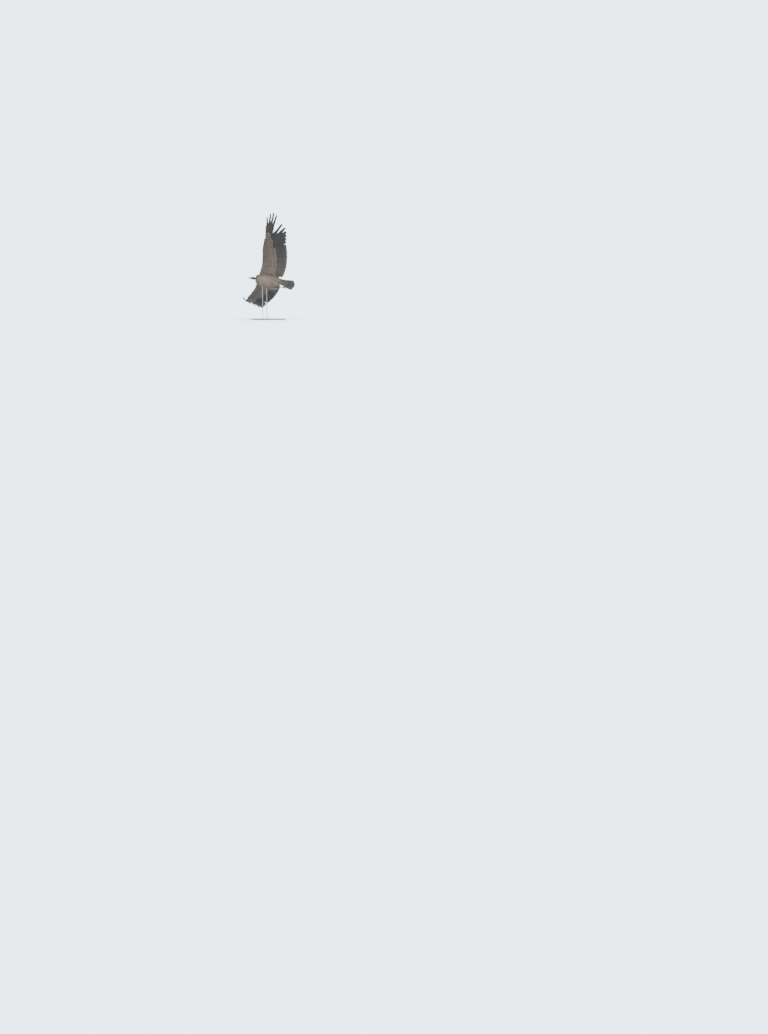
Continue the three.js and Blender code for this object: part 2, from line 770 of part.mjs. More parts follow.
function ruffCore() {
  const outer = [0.06, 0.3, 0.55, 0.8].map((t) => [ruffAhead(t) - 13, ruffRadius(t) - 9]);
  const inner = [[176, 68], [192, 30]];
  const rings = [...outer, ...inner].map(([x, r]) => new THREE.Vector2(r, x));
  const ring = new THREE.LatheGeometry([...rings, rings[0]], RUFF.locks);
  ring.rotateZ(-Math.PI / 2);
  ring.translate(0, 0, NECK.from[2]);
  const made = solidOf(ring);
  if (made.volume() > 0) return made;
  ring.setIndex([...ring.index.array].reverse());
  return solidOf(ring);
}

function ruffSolid() {
  const pieces = [ruffCore()];
  for (let i = 0; i < RUFF.locks; i += 1) {
    const middle = (i / RUFF.locks) * 2 * Math.PI;
    const long = 0.97 + 0.05 * Math.sin(i * 2.4);
    const at = (t, arc, h) => ruffPoint(t, middle + arc / 80, h);
    const rows = [
      [0, RUFF.width * 0.14, -18],
      [0.3, RUFF.width * 0.42, 1],
      [0.75, RUFF.width * 0.5, 3],
      [1, RUFF.width * 0.16, 3],
    ];
    const layer = (face) =>
      rows.map(([t, width, h]) =>
        [-1, 1].map((v) => at(0.06 + t * (long - 0.06), v * width, h + v * width * RUFF.tilt + face * 0.6)),
      );
    pieces.push(sheet(layer(1), layer(-1)));
  }
  return largest(union(pieces).subtract(torsoSolid(GAP)).subtract(neckTube(GAP)));
}

// Legs: the feathered thigh, the bare shank and the closed foot, trailed back under the tail.
function thighSolid(side, grow = 0) {
  const [hx, hy, hz] = LEG.heel;
  const path = [
    vec(-40, 78, -128),
    vec(-85, 78, -150),
    vec(-140, 70, -168),
    vec(-185, 62, -166),
    vec(hx, hy, hz),
  ];
  const radii = [40, 46, 38, 25, 15].map((r) => r + grow);
  return tube(path.map((p) => vec(p.x, side * p.y, p.z)), radii, 14);
}

function legNodes(side) {
  const heel = vec(LEG.heel[0], side * LEG.heel[1], LEG.heel[2]);
  const foot = vec(LEG.foot[0], side * LEG.foot[1], LEG.foot[2]);
  const along = foot.clone().sub(heel).normalize();
  const thigh = largest(thighSolid(side).subtract(torsoSolid(GAP)));
  const clear = (point, gap) => halfSpace(point.clone().addScaledVector(along, gap), along);
  const shankPath = [-10, 0, 40, 80, 116].map((d) => heel.clone().addScaledVector(along, d));
  const shank = largest(
    tube(shankPath, [9, 11, LEG.tarsus, LEG.tarsus, 12], 10)
      .intersect(clear(heel, GAP))
      .subtract(thighSolid(side, GAP)),
  );
  const toes = [
    { name: "inner", turn: -16, length: 74, drop: -4 },
    { name: "middle", turn: 0, length: 104, drop: -2 },
    { name: "outer", turn: 16, length: 76, drop: -4 },
    { name: "hind", turn: 8, length: 34, drop: -52 },
  ];
  const start = heel.clone().addScaledVector(along, 116 + GAP);
  const palm = ball(heel.clone().addScaledVector(along, 124), 13, 8, 5);
  const pieces = [palm];
  const claws = {};
  for (const { name, turn, length, drop } of toes) {
    const flatWay = vec(-Math.cos(rad(turn)), side * Math.sin(rad(turn)), 0);
    const way = flatWay.clone().multiplyScalar(Math.cos(rad(drop))).setZ(Math.sin(rad(drop)));
    const root = heel.clone().addScaledVector(along, 122);
    const path = spread(5, (t) => root.clone().addScaledVector(way, t * length).add(vec(0, 0, -6 * t * t)));
    pieces.push(tube(path, [8, 7.6, 6.6, 6.6, 4.6], 6));
    const tip = path.at(-1);
    const onward = tip.clone().sub(path.at(-2)).normalize();
    const from = tip.clone().addScaledVector(onward, GAP);
    const clawPath = spread(6, (t) =>
      from.clone().addScaledVector(onward, 20 * Math.sin(t * 1.25)).add(vec(0, 0, -11 * t ** 2.2)),
    );
    claws[name] = tube(clawPath, [4.2, 4, 3.5, 2.7, 1.7, 0.5], 6);
  }
  const footWhole = largest(union(pieces).intersect(clear(start, 0)));
  return { thigh, shank, foot: footWhole, claws };
}

// Assembly
const part = new THREE.Group();
const bird = new THREE.Group();
bird.rotation.set(rad(POSE.bank), rad(-POSE.pitch), rad(POSE.heading), "ZYX");
bird.position.set(0, 0, POSE.height);
part.add(bird);

function put(group, name, solid, material) {
  const mesh = new THREE.Mesh(geometryOf(solid), material);
  mesh.name = name;
  group.add(mesh);
}

put(bird, "torso", largest(torsoSolid()), brown);
put(bird, "neck", neckSolid(), skin);
put(bird, "ruff", ruffSolid(), ruffBrown);
put(bird, "head", headSolid(), skin);
put(bird, "bill_upper", upperBill(), horn);
put(bird, "bill_lower", lowerBill(), horn);
put(bird, "tail", tailSolid(), dark);

for (const [side, tag] of [[LEFT, "left"], [RIGHT, "right"]]) {
  put(bird, `eye_${tag}`, eyeSolid(side), iris);
  const { upper, fore, hand } = wingNodes(side);
  put(bird, `wing_${tag}_upper_arm`, upper, brown);
  put(bird, `wing_${tag}_forearm`, fore, brown);
  put(bird, `wing_${tag}_hand`, hand, dark);
  const { thigh, shank, foot, claws } = legNodes(side);
  put(bird, `leg_${tag}_thigh`, thigh, brown);
  put(bird, `leg_${tag}_shank`, shank, scale);
  put(bird, `foot_${tag}`, foot, scale);
  for (const [toe, claw] of Object.entries(claws)) put(bird, `claw_${tag}_${toe}`, claw, horn);
}

// Stand: a flat base, and two rods that end at the bird's lower flank.
function baseSolid() {
  const { length, width, thick, edgeRound: r } = STAND;
  const shape = new THREE.Shape();
  const [a, b] = [width / 2, length / 2];
  shape.moveTo(-a + r, -b);
  shape.lineTo(a - r, -b);
  shape.absarc(a - r, -b + r, r, -Math.PI / 2, 0);
  shape.lineTo(a, b - r);
  shape.absarc(a - r, b - r, r, 0, Math.PI / 2);
  shape.lineTo(-a + r, b);
  shape.absarc(-a + r, b - r, r, Math.PI / 2, Math.PI);
  shape.lineTo(-a, -b + r);
  shape.absarc(-a + r, -b + r, r, Math.PI, Math.PI * 1.5);
  return solidOf(new THREE.ExtrudeGeometry(shape, { depth: thick, bevelEnabled: false, curveSegments: 6 }));
}

function rodSolid(forward) {
  bird.updateMatrixWorld(true);
  const inBird = vec(forward, 0, -70).applyMatrix4(bird.matrixWorld);
  const rise = inBird.z - STAND.thick - GAP;
  const rod = new THREE.CylinderGeometry(STAND.rodRadius, STAND.rodRadius, rise, STAND.rodSides);
  rod.rotateX(Math.PI / 2);
  rod.translate(inBird.x, inBird.y, STAND.thick + GAP + rise / 2);
  const torso = torsoSolid(GAP).transform(bird.matrixWorld.elements);
  const bottom = solidOf(rod).subtract(torso).decompose();
  const low = (piece) => piece.boundingBox().min[2];
  return bottom.reduce((best, piece) => (low(piece) < low(best) ? piece : best));
}

put(part, "stand_base", baseSolid(), plinth);
for (const [name, forward] of Object.entries(STAND.rods)) {
  put(part, `stand_rod_${name}`, rodSolid(forward), steel);
}

export default part;
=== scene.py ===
"""A young Andean condor in brown plumage, banked in flight over a plain display stand.

The bird's own frame has +X forward, +Y to its left and +Z up, in millimetres. One turn and one
lift put it over the stand, in metres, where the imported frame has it.
"""

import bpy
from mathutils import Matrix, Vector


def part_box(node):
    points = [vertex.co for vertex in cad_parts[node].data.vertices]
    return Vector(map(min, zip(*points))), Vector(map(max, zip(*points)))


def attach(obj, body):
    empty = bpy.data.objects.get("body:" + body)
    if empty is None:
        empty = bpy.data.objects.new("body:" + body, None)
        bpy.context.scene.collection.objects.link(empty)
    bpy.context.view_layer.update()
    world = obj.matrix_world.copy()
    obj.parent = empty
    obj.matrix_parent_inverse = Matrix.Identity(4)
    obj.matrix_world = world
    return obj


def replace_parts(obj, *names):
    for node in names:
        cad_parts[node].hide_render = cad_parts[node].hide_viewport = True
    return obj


bl_info = {
    "name": "Young Condor in Flight",
    "version": (1, 0, 0),
    "blender": (4, 5, 0),
    "location": "3D View > Sidebar > Condor",
    "description": "Feathers, skin, bill, feet and stand of a young Andean condor in a banked glide",
    "category": "Object",
}

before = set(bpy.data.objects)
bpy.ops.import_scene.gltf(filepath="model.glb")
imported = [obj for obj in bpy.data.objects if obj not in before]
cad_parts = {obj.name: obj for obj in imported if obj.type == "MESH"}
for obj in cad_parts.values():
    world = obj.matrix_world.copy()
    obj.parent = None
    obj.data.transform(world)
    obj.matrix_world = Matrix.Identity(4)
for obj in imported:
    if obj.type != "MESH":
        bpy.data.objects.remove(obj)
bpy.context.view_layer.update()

import math

import bpy
import numpy as np
from bpy.props import FloatProperty, FloatVectorProperty, IntProperty, PointerProperty
from mathutils import Matrix, Vector

# Pose and sizes, in millimetres and degrees unless a name says otherwise
BANK, PITCH, HEADING, FLIGHT_HEIGHT = 45.3, 7, -90, 800
SHOULDER, SHOULDER_DROP, WRIST = 60, -22, 645
BEND_FROM, BEND_TO, BEND_POWER = 550, 1500, 1.6
BEND_SLANT, SLANT_FROM, SLANT_OVER = 0.78, 450, 350
SIDES = {
    "left": {"sign": 1, "rise": 13.5, "tip_rise": 30, "forward": 3, "twist": 3},
    "right": {"sign": -1, "rise": 12, "tip_rise": 60, "forward": 3, "twist": -1.5},
}
TIPS = [
    # tip x, tip s, width, width of the finger as a share, curl
    (-250, 880, 84, 1, 0),
    (-243, 950, 84, 1, 0),
    (-235, 1020, 84, 1, 2),
    (-225, 1090, 82, 0.92, 6),
    (-195, 1165, 80, 0.72, 12),
    (-130, 1235, 78, 0.6, 18),
    (-10, 1385, 76, 0.56, 26),
    (45, 1430, 74, 0.55, 36),
    (105, 1400, 72, 0.55, 46),
    (165, 1330, 66, 0.58, 56),
]
PRIMARY_FRONT, PRIMARY_REAR = (145, 880), (115, 660)
SECONDARY_BASE, SECONDARY_TIP = (630, 122), (810, 116)
TAIL_BASE, TAIL_LENGTH, TAIL_OUTER, TAIL_FAN, TAIL_DROOP, TAIL_ARCH = -236, 335, 300, 16.5, 13, 14
TAIL_TIERS = (
    # coverts: where their roots are, length, half width, height over the tail's plane
    (-262, 150, 15, 7),
    (-248, 115, 15, 10),
    (-236, 84, 14, 13),
    (-224, 66, 14, 15),
    (-206, 60, 15, 17),
)
# Ends of the greater, the median and the primary coverts as shares of the flight feathers'
# length, by the wing's face: 1 is the upper one
COVERT_REACH = {1: (0.56, 0.32, 0.36), -1: (0.48, 0.28, 0.31)}
ALULA_TONE, TAIL_TONE = 0.68, 0.5  # depths of colour, from 0 to 1
HEAD_AT, HEAD_ROLL, HEAD_PITCH = (292, 0, -30), -18, 6
NECK_HEIGHT = -38
NECK_RINGS = (
    # place along the head's X, middle in the bird's frame, radius
    (-135, (158, 0, -50), 32),
    (-112, (182, 0, -43), 33),
    (-92, (204, 0, -37.5), 31.5),
    (-72, (220, 0, -34.5), 27.5),
)
EYE_AT, EYE_RADIUS = (4, 22.5, 9), 7
EAR_AT, MOUTH_CORNER = (-28, -5), (9, -7.6)  # x and z in the head's frame
HEEL, FOOT = (-212, 58, -158), (-328, 52, -112)
SHANK_RADIUS, SHANK_LENGTH = 9.2, 122
THIGH = ((-40, 78, -128), (-85, 78, -150), (-140, 70, -168), (-185, 62, -166))
TOES = (
    # name, degrees aside, length, degrees up
    ("inner", -16, 74, -4),
    ("middle", 0, 104, -2),
    ("outer", 16, 76, -4),
    ("hind", 8, 34, -52),
)
BODY = "root"
TURN = 2 * math.pi
ARC = 100  # an arc's unit round a form: this many to the radian


# Small helpers on arrays
def mix(a, b, t):
    return a + (b - a) * t


def smooth(t):
    """An ease from 0 to 1: three t squared less two t cubed, held at its ends."""
    t = np.clip(t, 0, 1)
    return t * t * (3 - 2 * t)


def bump(distance, width):
    """A bell of height 1: e to the minus square of distance over width."""
    return np.exp(-((distance / width) ** 2))


def through(*pairs):
    """A smooth function through a few (where, value) pairs: a cubic between each two of them,
    whose slope at a pair is that from the pair before to the pair after. Values may be rows."""
    xs = np.array([p[0] for p in pairs], float)
    ys = np.array([p[1] for p in pairs], float)
    before = np.maximum(np.arange(len(xs)) - 1, 0)
    after = np.minimum(np.arange(len(xs)) + 1, len(xs) - 1)
    gap = xs[after] - xs[before]
    slopes = (ys[after] - ys[before]) / (gap if ys.ndim == 1 else gap[:, None])

    def at(where):
        x = np.clip(np.asarray(where, float), xs[0], xs[-1])
        i = np.clip(np.searchsorted(xs, x, side="right") - 1, 0, len(xs) - 2)
        w = xs[i + 1] - xs[i]
        t = (x - xs[i]) / w
        if ys.ndim > 1:
            w, t = w[..., None], t[..., None]
        t2, t3 = t * t, t * t * t
        start = ys[i] * (2 * t3 - 3 * t2 + 1) + slopes[i] * w * (t3 - 2 * t2 + t)
        return start + ys[i + 1] * (3 * t2 - 2 * t3) + slopes[i + 1] * w * (t3 - t2)

    return at


def evenly_through(*values):
    """A smooth function through values at even distances from 0 to 1."""
    return through(*[(i / (len(values) - 1), value) for i, value in enumerate(values)])


def ring_angles(count):
    return np.arange(count)[None, :] / count * TURN


def ring_places(count, rng, jitter):
    """Arcs round a form, about evenly spaced, each moved a little at random."""
    return (np.arange(count) + rng.uniform(-jitter, jitter, count)) / count * TURN * ARC


def turn_about(axis, degrees):
    return np.array(Matrix.Rotation(math.radians(degrees), 3, axis))


BIRD_TURN = turn_about("Z", HEADING) @ turn_about("Y", -PITCH) @ turn_about("X", BANK)
HEAD_TURN = turn_about("Y", HEAD_PITCH) @ turn_about("X", HEAD_ROLL)


def to_world(points):
    """The bird's frame turned by its bank, pitch and heading, lifted, and put in metres."""
    return (points @ BIRD_TURN.T + np.array([0, 0, FLIGHT_HEIGHT])) / 1000


def in_head(x, y, z):
    """A point of the head's own frame, X towards the bill, as a point of the bird's frame."""
    local = np.stack(np.broadcast_arrays(np.asarray(x, float), y, z), -1)
    return local @ HEAD_TURN.T + np.array(HEAD_AT, float)


def unit(vectors):
    return vectors / np.maximum(np.linalg.norm(vectors, axis=-1, keepdims=True), 1e-9)


# The bird's forms, as functions of two places on them and a height over them
leading_edge = through((40, 176), (120, 173), (300, 152), (480, 165), (620, 185), (720, 188), (885, 180))
trailing_edge = through(
    (40, -270), (160, -318), (300, -334), (420, -334), (620, -310), (800, -262), (940, -230)
)
core_chord = through((40, 360), (160, 310), (300, 240), (480, 165), (620, 120), (720, 85), (885, 45))
core_half = through((40, 30), (160, 25), (300, 20), (480, 16), (620, 13), (720, 9.5), (885, 5))
camber_rise = through((40, 16), (300, 22), (620, 18), (900, 8), (1450, 2))
plan_chord = through((40, 455), (420, 500), (800, 450), (1450, 400))
feather_lean = through((40, -5), (122, 0), (400, 17), (640, 31), (700, 40), (760, 52), (820, 70), (885, 92))

torso_half = through(
    (-300, 42), (-250, 72), (-150, 114), (-50, 134), (50, 132), (150, 100), (188, 74), (206, 46)
)
torso_top = through((-300, 8), (-250, 22), (-150, 42), (-50, 52), (50, 52), (150, 38), (188, 18), (206, -4))
torso_bottom = through(
    (-300, -58), (-250, -106), (-150, -168), (-50, -196), (50, -190), (150, -150), (188, -108), (206, -74)
)

head_half = through((-54, 23), (-34, 29), (-12, 30.5), (8, 28), (24, 22), (42, 15.5), (58, 12.5))
head_top = through((-54, 17), (-34, 27), (-12, 31), (8, 30), (24, 24), (42, 18.5), (58, 17))
head_bottom = through((-54, -25), (-34, -29), (-12, -28), (8, -26), (24, -22), (42, -15), (58, -11))

bill_top = through((58, 17), (70, 17.4), (82, 15), (92, 8), (99, -1), (103, -9))
bill_edge = through((58, -1.5), (74, -1.8), (86, -2.6), (92, -6), (99, -13), (103, -15))
bill_half = through((58, 12.4), (70, 10.6), (82, 8), (92, 5.4), (99, 3), (103, 0.8))

ruff_radius = through((-0.3, 25), (0, 33), (0.25, 50), (0.5, 69), (0.75, 81), (1, 86), (1.25, 84), (1.6, 76))
ruff_ahead = through(
    (-0.3, 206), (0, 217), (0.25, 224), (0.5, 219), (0.75, 206), (1, 187), (1.25, 168), (1.6, 143)
)

COAT_DEPTH = 5.0  # feathers lie this deep over the body's skin
WING_COAT = 2.5


def wing_at(side):
    """The wing's bent surface. A place x forward and s outward on the flat wing is carried
    along lines that climb by an angle which grows with s, sooner at the leading edge, then
    raised by h and the camber square to the surface, twisted, and yawed at the shoulder."""
    step, steps, column_step = 10, 165, 25
    columns = np.arange(-500, 326, column_step, float)

    def bend(x, s):
        slant = BEND_SLANT * x * np.clip((s - SLANT_FROM) / SLANT_OVER, 0, 1)
        t = np.clip((s + slant - BEND_FROM) / (BEND_TO - BEND_FROM), 0, 1.1)
        return np.radians(side["rise"] + side["tip_rise"] * t**BEND_POWER)

    angle = bend(columns[:, None], (np.arange(steps) + 0.5)[None, :] * step)
    start = np.zeros((len(columns), 1))
    line_y = np.hstack([start, np.cumsum(np.cos(angle) * step, 1)])
    line_z = SHOULDER_DROP + np.hstack([start, np.cumsum(np.sin(angle) * step, 1)])

    def read(table, x, s):
        column = np.clip((x - columns[0]) / column_step, 0, len(columns) - 1.001)
        place = np.clip(s / step, 0, steps - 0.001)
        i, j = column.astype(int), place.astype(int)
        a, b = column - i, place - j
        near = mix(table[i, j], table[i + 1, j], a)
        far = mix(table[i, j + 1], table[i + 1, j + 1], a)
        return mix(near, far, b)

    def at(x, s, h):
        x, s, h = np.broadcast_arrays(np.asarray(x, float), np.asarray(s, float), h)
        c = np.clip((leading_edge(s) - x) / plan_chord(s), -0.1, 1.12)
        over = h + camber_rise(s) * 4 * c * (1 - c)
        tw = np.radians(side["twist"]) * np.clip(s / 800, 0, 1.5)
        lift = over * np.cos(tw) + (x - 50) * np.sin(tw)
        ahead = 50 + (x - 50) * np.cos(tw) - over * np.sin(tw)
        a = bend(x, s)
        out = read(line_y, x, s) - np.sin(a) * lift - SHOULDER
        up = read(line_z, x, s) + np.cos(a) * lift
        yaw = math.radians(side["forward"])
        return np.stack(
            [
                ahead * math.cos(yaw) + out * math.sin(yaw),
                side["sign"] * (SHOULDER + out * math.cos(yaw) - ahead * math.sin(yaw)),
                up,
            ],
            -1,
        )

    return at


def wing_flesh(x, s):
    """Half the fleshy wing's thickness at a place: its section is 2 times the root of c times
    (1 - c) to the 0.6, plus 0.38 c, and behind it fades to the flight feathers' thickness."""
    behind = leading_edge(s) - x
    c = np.clip(behind / core_chord(s), 0, 1)
    half = np.maximum(core_half(s) - WING_COAT, 2)
    flesh = half * (2 * np.sqrt(c) * (1 - c) ** 0.6 + 0.38 * c)
    fade = np.exp(-np.maximum(behind - core_chord(s), 0) / 45)
    return flesh * fade + 4.5 * (1 - fade)


def torso_at(x, arc, h):
    """An oval across X with its own half width, top and bottom. Arc runs round from the bird's
    left side over the back, and h is measured square to the oval."""
    x, arc, h = np.broadcast_arrays(np.asarray(x, float), np.asarray(arc, float), h)
    a = arc / ARC
    top, bottom, half = torso_top(x), torso_bottom(x), torso_half(x)
    widest = mix(bottom, top, 0.62)
    lift = np.where(np.sin(a) > 0, top - widest, widest - bottom)
    out = unit(np.stack([np.cos(a) / half, np.sin(a) / lift], -1))
    y = half * np.cos(a) + out[..., 0] * h
    z = widest + lift * np.sin(a) + out[..., 1] * h
    return np.stack([x, y, z], -1)


def tail_at(x, y, h):
    """The tail's plane, drooped about its base and arched down by the square of y."""
    x, y, h = np.broadcast_arrays(np.asarray(x, float), np.asarray(y, float), h)
    back = TAIL_BASE - x
    droop = math.radians(TAIL_DROOP)
    over = h - TAIL_ARCH * (y / 130) ** 2
    return np.stack(
        [
            TAIL_BASE - back * math.cos(droop) - over * math.sin(droop),
            y,
            -16 - back * math.sin(droop) + over * math.cos(droop),
        ],
        -1,
    )


def ruff_at(t, arc, h):
    """A collar turned about the neck: radius and place ahead are functions of t, arc runs round
    it, and h is measured square to the collar."""
    t, arc, h = np.broadcast_arrays(np.asarray(t, float), np.asarray(arc, float), h)
    a = arc / ARC
    grow = ruff_radius(t + 0.02) - ruff_radius(t - 0.02)
    sink = ruff_ahead(t - 0.02) - ruff_ahead(t + 0.02)
    slope = np.arctan2(grow, sink)
    r = ruff_radius(t) + h * np.cos(slope)
    x = ruff_ahead(t) + h * np.sin(slope)
    return np.stack([x, r * np.cos(a), NECK_HEIGHT + r * np.sin(a)], -1)


def carried(path, radii, at_t, arc, h):
    """A place on a round limb: the path's point at t, plus radius and h out at the arc, in a
    frame square to the path with its first axis kept level."""
    t, arc, h = np.broadcast_arrays(np.asarray(at_t, float), np.asarray(arc, float), h)
    centre = path(t)
    along = unit(path(np.minimum(t + 0.01, 1)) - path(np.maximum(t - 0.01, 0)))
    side = unit(np.cross(np.array([0.0, 0.0, 1.0]), along))
    up = np.cross(along, side)
    r = (radii(t) + h)[..., None]
    a = (arc / ARC)[..., None]
    return centre + (side * np.cos(a) + up * np.sin(a)) * r


# Meshes from arrays
def grid_quads(rows, columns, closed=False):
    """The four-cornered faces of a grid of points, row by row. A closed grid joins its last
    column to its first."""
    r = np.arange(rows - 1)[:, None] * columns
    c = np.arange(columns if closed else columns - 1)[None, :]
    d = (c + 1) % columns
    return np.stack([r + c, r + d, r + columns + d, r + columns + c], -1).reshape(-1, 4)


def face_tuples(quads):
    """Faces as tuples of four corners, or of three where the last corner is repeated."""
    return [tuple(q[:3]) if q[2] == q[3] else tuple(q) for q in quads.tolist()]


def make_piece(name, points, quads, material, slot, uv=None, vane_uv=None, look=None):
    """A mesh piece at the origin from points in metres and faces of four corners, where a face
    that repeats its last corner has three. It rides on the body. The slot is not used."""
    three = quads[:, 2] == quads[:, 3]
    corners = np.where(three, 3, 4)
    keep = np.ones(quads.shape, bool)
    keep[three, 3] = False
    index = quads[keep].astype(np.int32)
    mesh = bpy.data.meshes.new(name)
    mesh.vertices.add(len(points))
    mesh.vertices.foreach_set("co", np.ascontiguousarray(points, np.float32).ravel())
    mesh.loops.add(len(index))
    mesh.polygons.add(len(quads))
    mesh.polygons.foreach_set("loop_start", (np.cumsum(corners) - corners).astype(np.int32))
    mesh.loops.foreach_set("vertex_index", index)
    mesh.update(calc_edges=True)
    for layer, values in (("OFBake", uv), ("Vane", vane_uv)):
        if values is not None:
            made = mesh.uv_layers.new(name=layer)
            made.uv.foreach_set("vector", np.ascontiguousarray(values[index], np.float32).ravel())
    for k, layer in enumerate(("shade", "depth") if look is not None else ()):
        values = np.ascontiguousarray(look[:, k], np.float32)
        mesh.attributes.new(layer, "FLOAT", "POINT").data.foreach_set("value", values)
    mesh.polygons.foreach_set("use_smooth", np.ones(len(quads), bool))
    if mesh.validate():
        raise RuntimeError(f"{name} had faces that Blender took out")
    for one in material if isinstance(material, list) else [material]:
        mesh.materials.append(one)
    piece = bpy.data.objects.new(name, mesh)
    bpy.context.scene.collection.objects.link(piece)
    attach(piece, BODY)
    return piece


def capped_tube(rings):
    """Points and faces of a closed skin over rings of equal count, with a middle point at each
    end. The rings' turning and order decide which way its faces point, and it is turned about
    where its volume comes out negative."""
    rows, columns = rings.shape[:2]
    points = np.vstack([rings.reshape(-1, 3), rings[0].mean(0), rings[-1].mean(0)])
    first, last = rows * columns, rows * columns + 1
    i = np.arange(columns)
    j = (i + 1) % columns
    end = (rows - 1) * columns
    caps = [
        np.stack([np.full(columns, first), j, i, i], -1),
        np.stack([np.full(columns, last), end + i, end + j, end + j], -1),
    ]
    quads = np.vstack([grid_quads(rows, columns, True), *caps])
    return points, outward(points, quads)


def outward(points, quads):
    """The faces, turned about where the volume that they close is negative."""
    a, b, c, d = (points[quads[:, k]] for k in range(4))
    volume = (np.cross(b, c) * a).sum() + (np.cross(c, d) * a).sum()
    if volume >= 0:
        return quads
    three = quads[:, 2] == quads[:, 3]
    turned = quads[:, ::-1].copy()
    turned[three] = quads[three][:, [1, 0, 2, 2]]
    return turned


def joined(parts):
    """Several (points, faces) pairs as one."""
    counts = np.cumsum([0] + [len(p) for p, _ in parts[:-1]])
    return (
        np.vstack([p for p, _ in parts]),
        np.vstack([q + n for (_, q), n in zip(parts, counts)]),
    )


# Feathers
def spread_rows(low, high, spacing, rng, jitter=0.2):
    """Places about `spacing` apart from low to high, each moved a little at random."""
    count = max(int(round((high - low) / spacing)), 1)
    places = low + (np.arange(count) + 0.5) * (high - low) / count
    return places + rng.uniform(-jitter, jitter, count) * spacing


def row_places(rows):
    """Places along a feather from 0 to 1, closer together towards its tip."""
    return 1 - (1 - np.linspace(0, 1, rows)) ** 1.7


def blade(full, closing, start=0.2):
    """A vane's width along it: eased from `start` to 1 by the place `full`, then from the place
    `closing` drawn in by the root of one less the share to the 2.2, as a blunt half oval."""

    def at(t):
        share = np.clip((t - closing) / (1 - closing), 0, 1)
        return mix(start, 1, smooth(t / full)) * np.sqrt(np.maximum(1 - share**2.2, 0.012))

    return at


PATCH_SIZE = 0.003  # one feather's share of the map OFBake
COVERT, BODY_VANE = blade(0.35, 0.6), blade(0.4, 0.42)
FLIGHT, DOWN = blade(0.3, 0.9), blade(0.3, 0.1, 0.4)


def vanes(at, root, tip, half, lift, rng, rows=8, columns=5, outline=COVERT, tilt=0.0, thick=0.5,
          shaft=0.0, camber=0.06, patch=None, fray=0.0, bow=0.0, tone=None):
    """Joined closed feathers on the surface at(p, q, h). Each lies from root to tip in the
    plan. Across it, a place v from -1 to 1 stands off by v times its half width times the
    outline at t. Its height is lift(p, q, t) plus tilt times that offset, plus a camber of
    (1 - v squared) of the half width, and its thickness thins from the shaft to the edges.
    Fray draws each line of barbs back from the tip and in at random, the feather is bent aside
    by bow times t squared, and tone gives its depth of colour. Gives points, faces, the map
    OFBake by root, the map Vane by place on the feather, and shade and depth."""
    count = len(root)
    t = row_places(rows)[None, :, None]
    v = np.linspace(-1, 1, columns)[None, None, :]
    along = tip - root
    length = np.linalg.norm(along, axis=1, keepdims=True)
    way = along / length
    across = np.stack([way[:, 1], -way[:, 0]], -1)
    half = np.broadcast_to(half, (count,))[:, None, None]
    width = outline(t) * half
    off = v * width
    bend = np.broadcast_to(bow, (count,))[:, None, None] * t * t
    swept = t
    if fray:
        swept = t - rng.uniform(0, fray, (count, 1, columns)) * smooth((t - 0.4) / 0.6)
        off = off * (1 - rng.uniform(0, fray, (count, rows, columns)))
    run = swept * length[:, :, None]
    p, q = (
        root[:, k, None, None] + way[:, k, None, None] * run + across[:, k, None, None] * (off + bend)
        for k in (0, 1)
    )
    slope = np.broadcast_to(tilt, (count,))[:, None, None]
    middle = lift(p, q, t + 0 * p) + slope * off + camber * width * (1 - v * v)
    body = thick * (0.3 + 0.7 * (1 - np.abs(v))) + shaft * (np.abs(v) < 1e-6) * (1.05 - t) + 0 * p
    points = np.stack([at(p, q, middle + body / 2), at(p, q, middle - body / 2)], 1).reshape(-1, 3)
    size = rows * columns
    top = grid_quads(rows, columns)
    rim = np.concatenate(
        [
            np.arange(columns - 1),
            np.arange(rows - 1) * columns + columns - 1,
            (rows - 1) * columns + np.arange(columns - 1, 0, -1),
            np.arange(rows - 1, 0, -1) * columns,
        ]
    )
    following = np.roll(rim, -1)
    wall = np.stack([rim, rim + size, following + size, following], -1)
    quads = np.vstack([top, (top + size)[:, ::-1], wall])
    every = (quads[None] + (np.arange(count) * 2 * size)[:, None, None]).reshape(-1, 4)
    if (outward(points[: 2 * size], quads) != quads).any():
        every = every[:, ::-1]
    grid_uv = np.stack(np.broadcast_arrays(0.5 + v[0] / 2, t[0]), -1).reshape(1, 1, size, 2)
    vane_uv = np.broadcast_to(grid_uv, (count, 2, size, 2)).reshape(-1, 2)
    uv = patch(root)[:, None, None] + PATCH_SIZE * (grid_uv - 0.5) + np.zeros((count, 2, size, 2))
    shade = rng.uniform(0, 1, count)
    depth = np.clip(tone(root), 0, 1) if tone else np.zeros(count)
    look = np.repeat(np.stack([shade, depth], -1), 2 * size, axis=0)
    return points, every, uv.reshape(-1, 2), vane_uv, look


def feather_piece(name, groups, material, slot, place=to_world):
    """One piece from several groups of feathers."""
    points, quads = joined([g[:2] for g in groups])
    uv, vane_uv, look = (np.vstack([g[k] for g in groups]) for k in (2, 3, 4))
    return make_piece(name, place(points), quads, material, slot, np.clip(uv, 0, 1), vane_uv, look)


def wing_patch(root):
    """A wing root's place on the unwrapped wing: x and s as shares of its reach."""
    return np.stack([(root[:, 0] + 400) / 700, root[:, 1] / 1500], -1)


def wing_patch_of_edge(root):
    return np.stack([(leading_edge(root[:, 1]) + 400) / 700, root[:, 1] / 1500], -1)


def wing_tone_and_painted_shade(face):
    """How dark a wing feather is: more towards the hand, partly the hand's own darker plumage and partly
    painted shade, and more on the upper face.
    """
    return lambda root: 0.46 + 0.12 * face + 0.42 * smooth((root[:, 1] - 60) / 700)


def even_tone(value):
    """The same depth of colour for every feather."""
    return lambda root: np.full(len(root), value)


